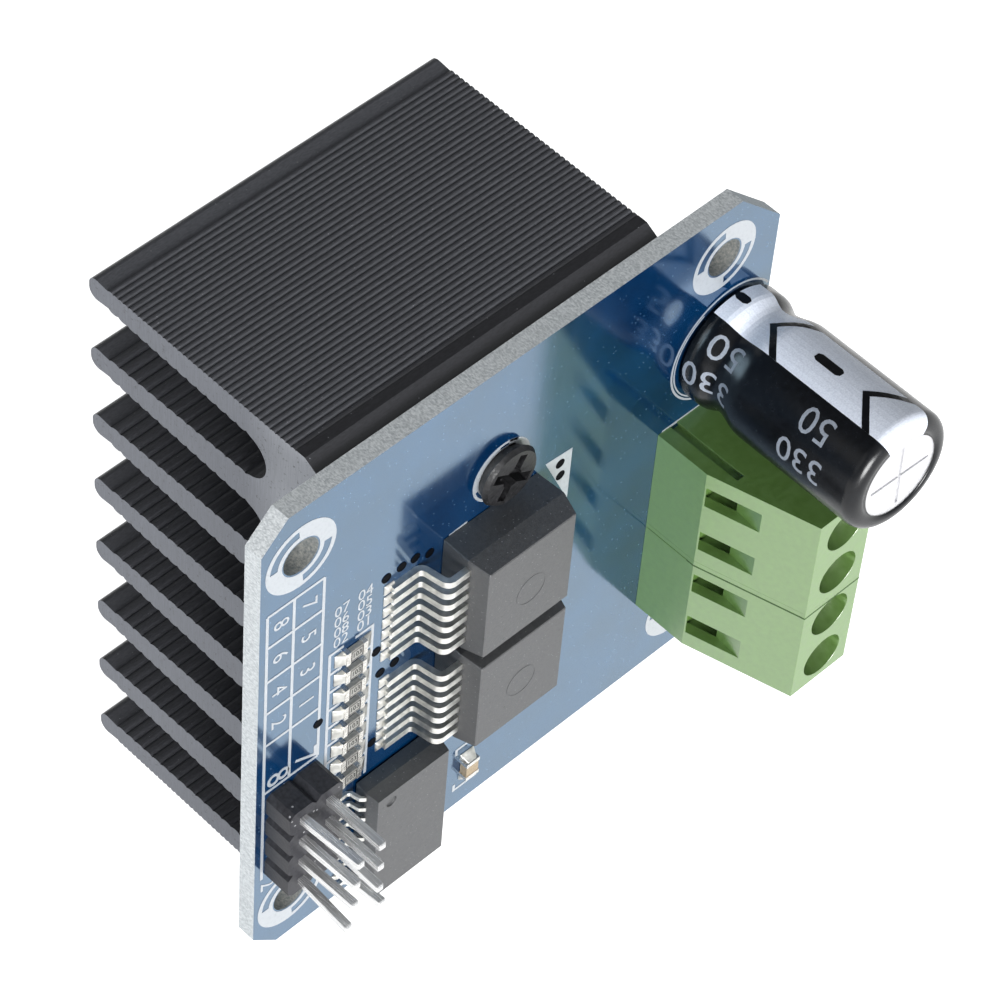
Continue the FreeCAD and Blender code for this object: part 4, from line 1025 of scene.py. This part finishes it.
# Brightness of the world in front of the object and behind it, and its share straight above
WORLD_FRONT = 1.15
WORLD_BACK = 0.24
WORLD_ABOVE = 0.42


def world():
    made = bpy.data.worlds.new("studio")
    bpy.context.scene.world = made
    made.use_nodes = True
    tree = made.node_tree
    back = tree.nodes["Background"]
    back.inputs["Color"].default_value = (0.95, 0.98, 1.0, 1.0)
    way = tree.nodes.new("ShaderNodeTexCoord")
    parts = tree.nodes.new("ShaderNodeSeparateXYZ")
    tree.links.new(way.outputs["Generated"], parts.inputs["Vector"])

    def mapped(value, **limits):
        made = tree.nodes.new("ShaderNodeMapRange")
        for socket, limit in limits.items():
            made.inputs[socket.replace("_", " ")].default_value = limit
        tree.links.new(value, made.inputs["Value"])
        return made

    front = mapped(parts.outputs["Y"], From_Min=0.3, From_Max=-0.9, To_Min=WORLD_BACK, To_Max=WORLD_FRONT)
    above = mapped(parts.outputs["Z"], To_Min=1.0, To_Max=WORLD_ABOVE)
    share = tree.nodes.new("ShaderNodeMath")
    share.operation = "MULTIPLY"
    tree.links.new(front.outputs["Result"], share.inputs[0])
    tree.links.new(above.outputs["Result"], share.inputs[1])
    # The camera sees white
    level = mapped(tree.nodes.new("ShaderNodeLightPath").outputs["Is Camera Ray"], To_Max=1.0)
    tree.links.new(share.outputs[0], level.inputs["To Min"])
    tree.links.new(level.outputs["Result"], back.inputs["Strength"])


def camera():
    """The photograph's camera, from its right, down and forward directions."""
    data = bpy.data.cameras.new("camera")
    data.sensor_width = 36.0
    data.lens = 151.286
    data.clip_start = 0.01
    data.clip_end = 20.0
    made = bpy.data.objects.new("camera", data)
    right = Vector((0.71571, -0.69603, 0.05740))
    down = Vector((-0.51430, -0.58088, -0.63093))
    ahead = Vector((0.47249, 0.42204, -0.77371))
    turn = Matrix((right, -down, -ahead)).transposed().to_4x4()
    made.matrix_world = Matrix.Translation((-0.140889, -0.124901, 0.239125)) @ turn
    bpy.context.scene.collection.objects.link(made)
    bpy.context.scene.camera = made


floor()
world()
lamp("key", (-0.34, -0.72, 0.14), 0.4, 11.2)
lamp("fill", (-0.6, 0.1, 0.4), 0.5, 0.4)
camera()
bpy.context.scene.view_settings.view_transform = "Standard"
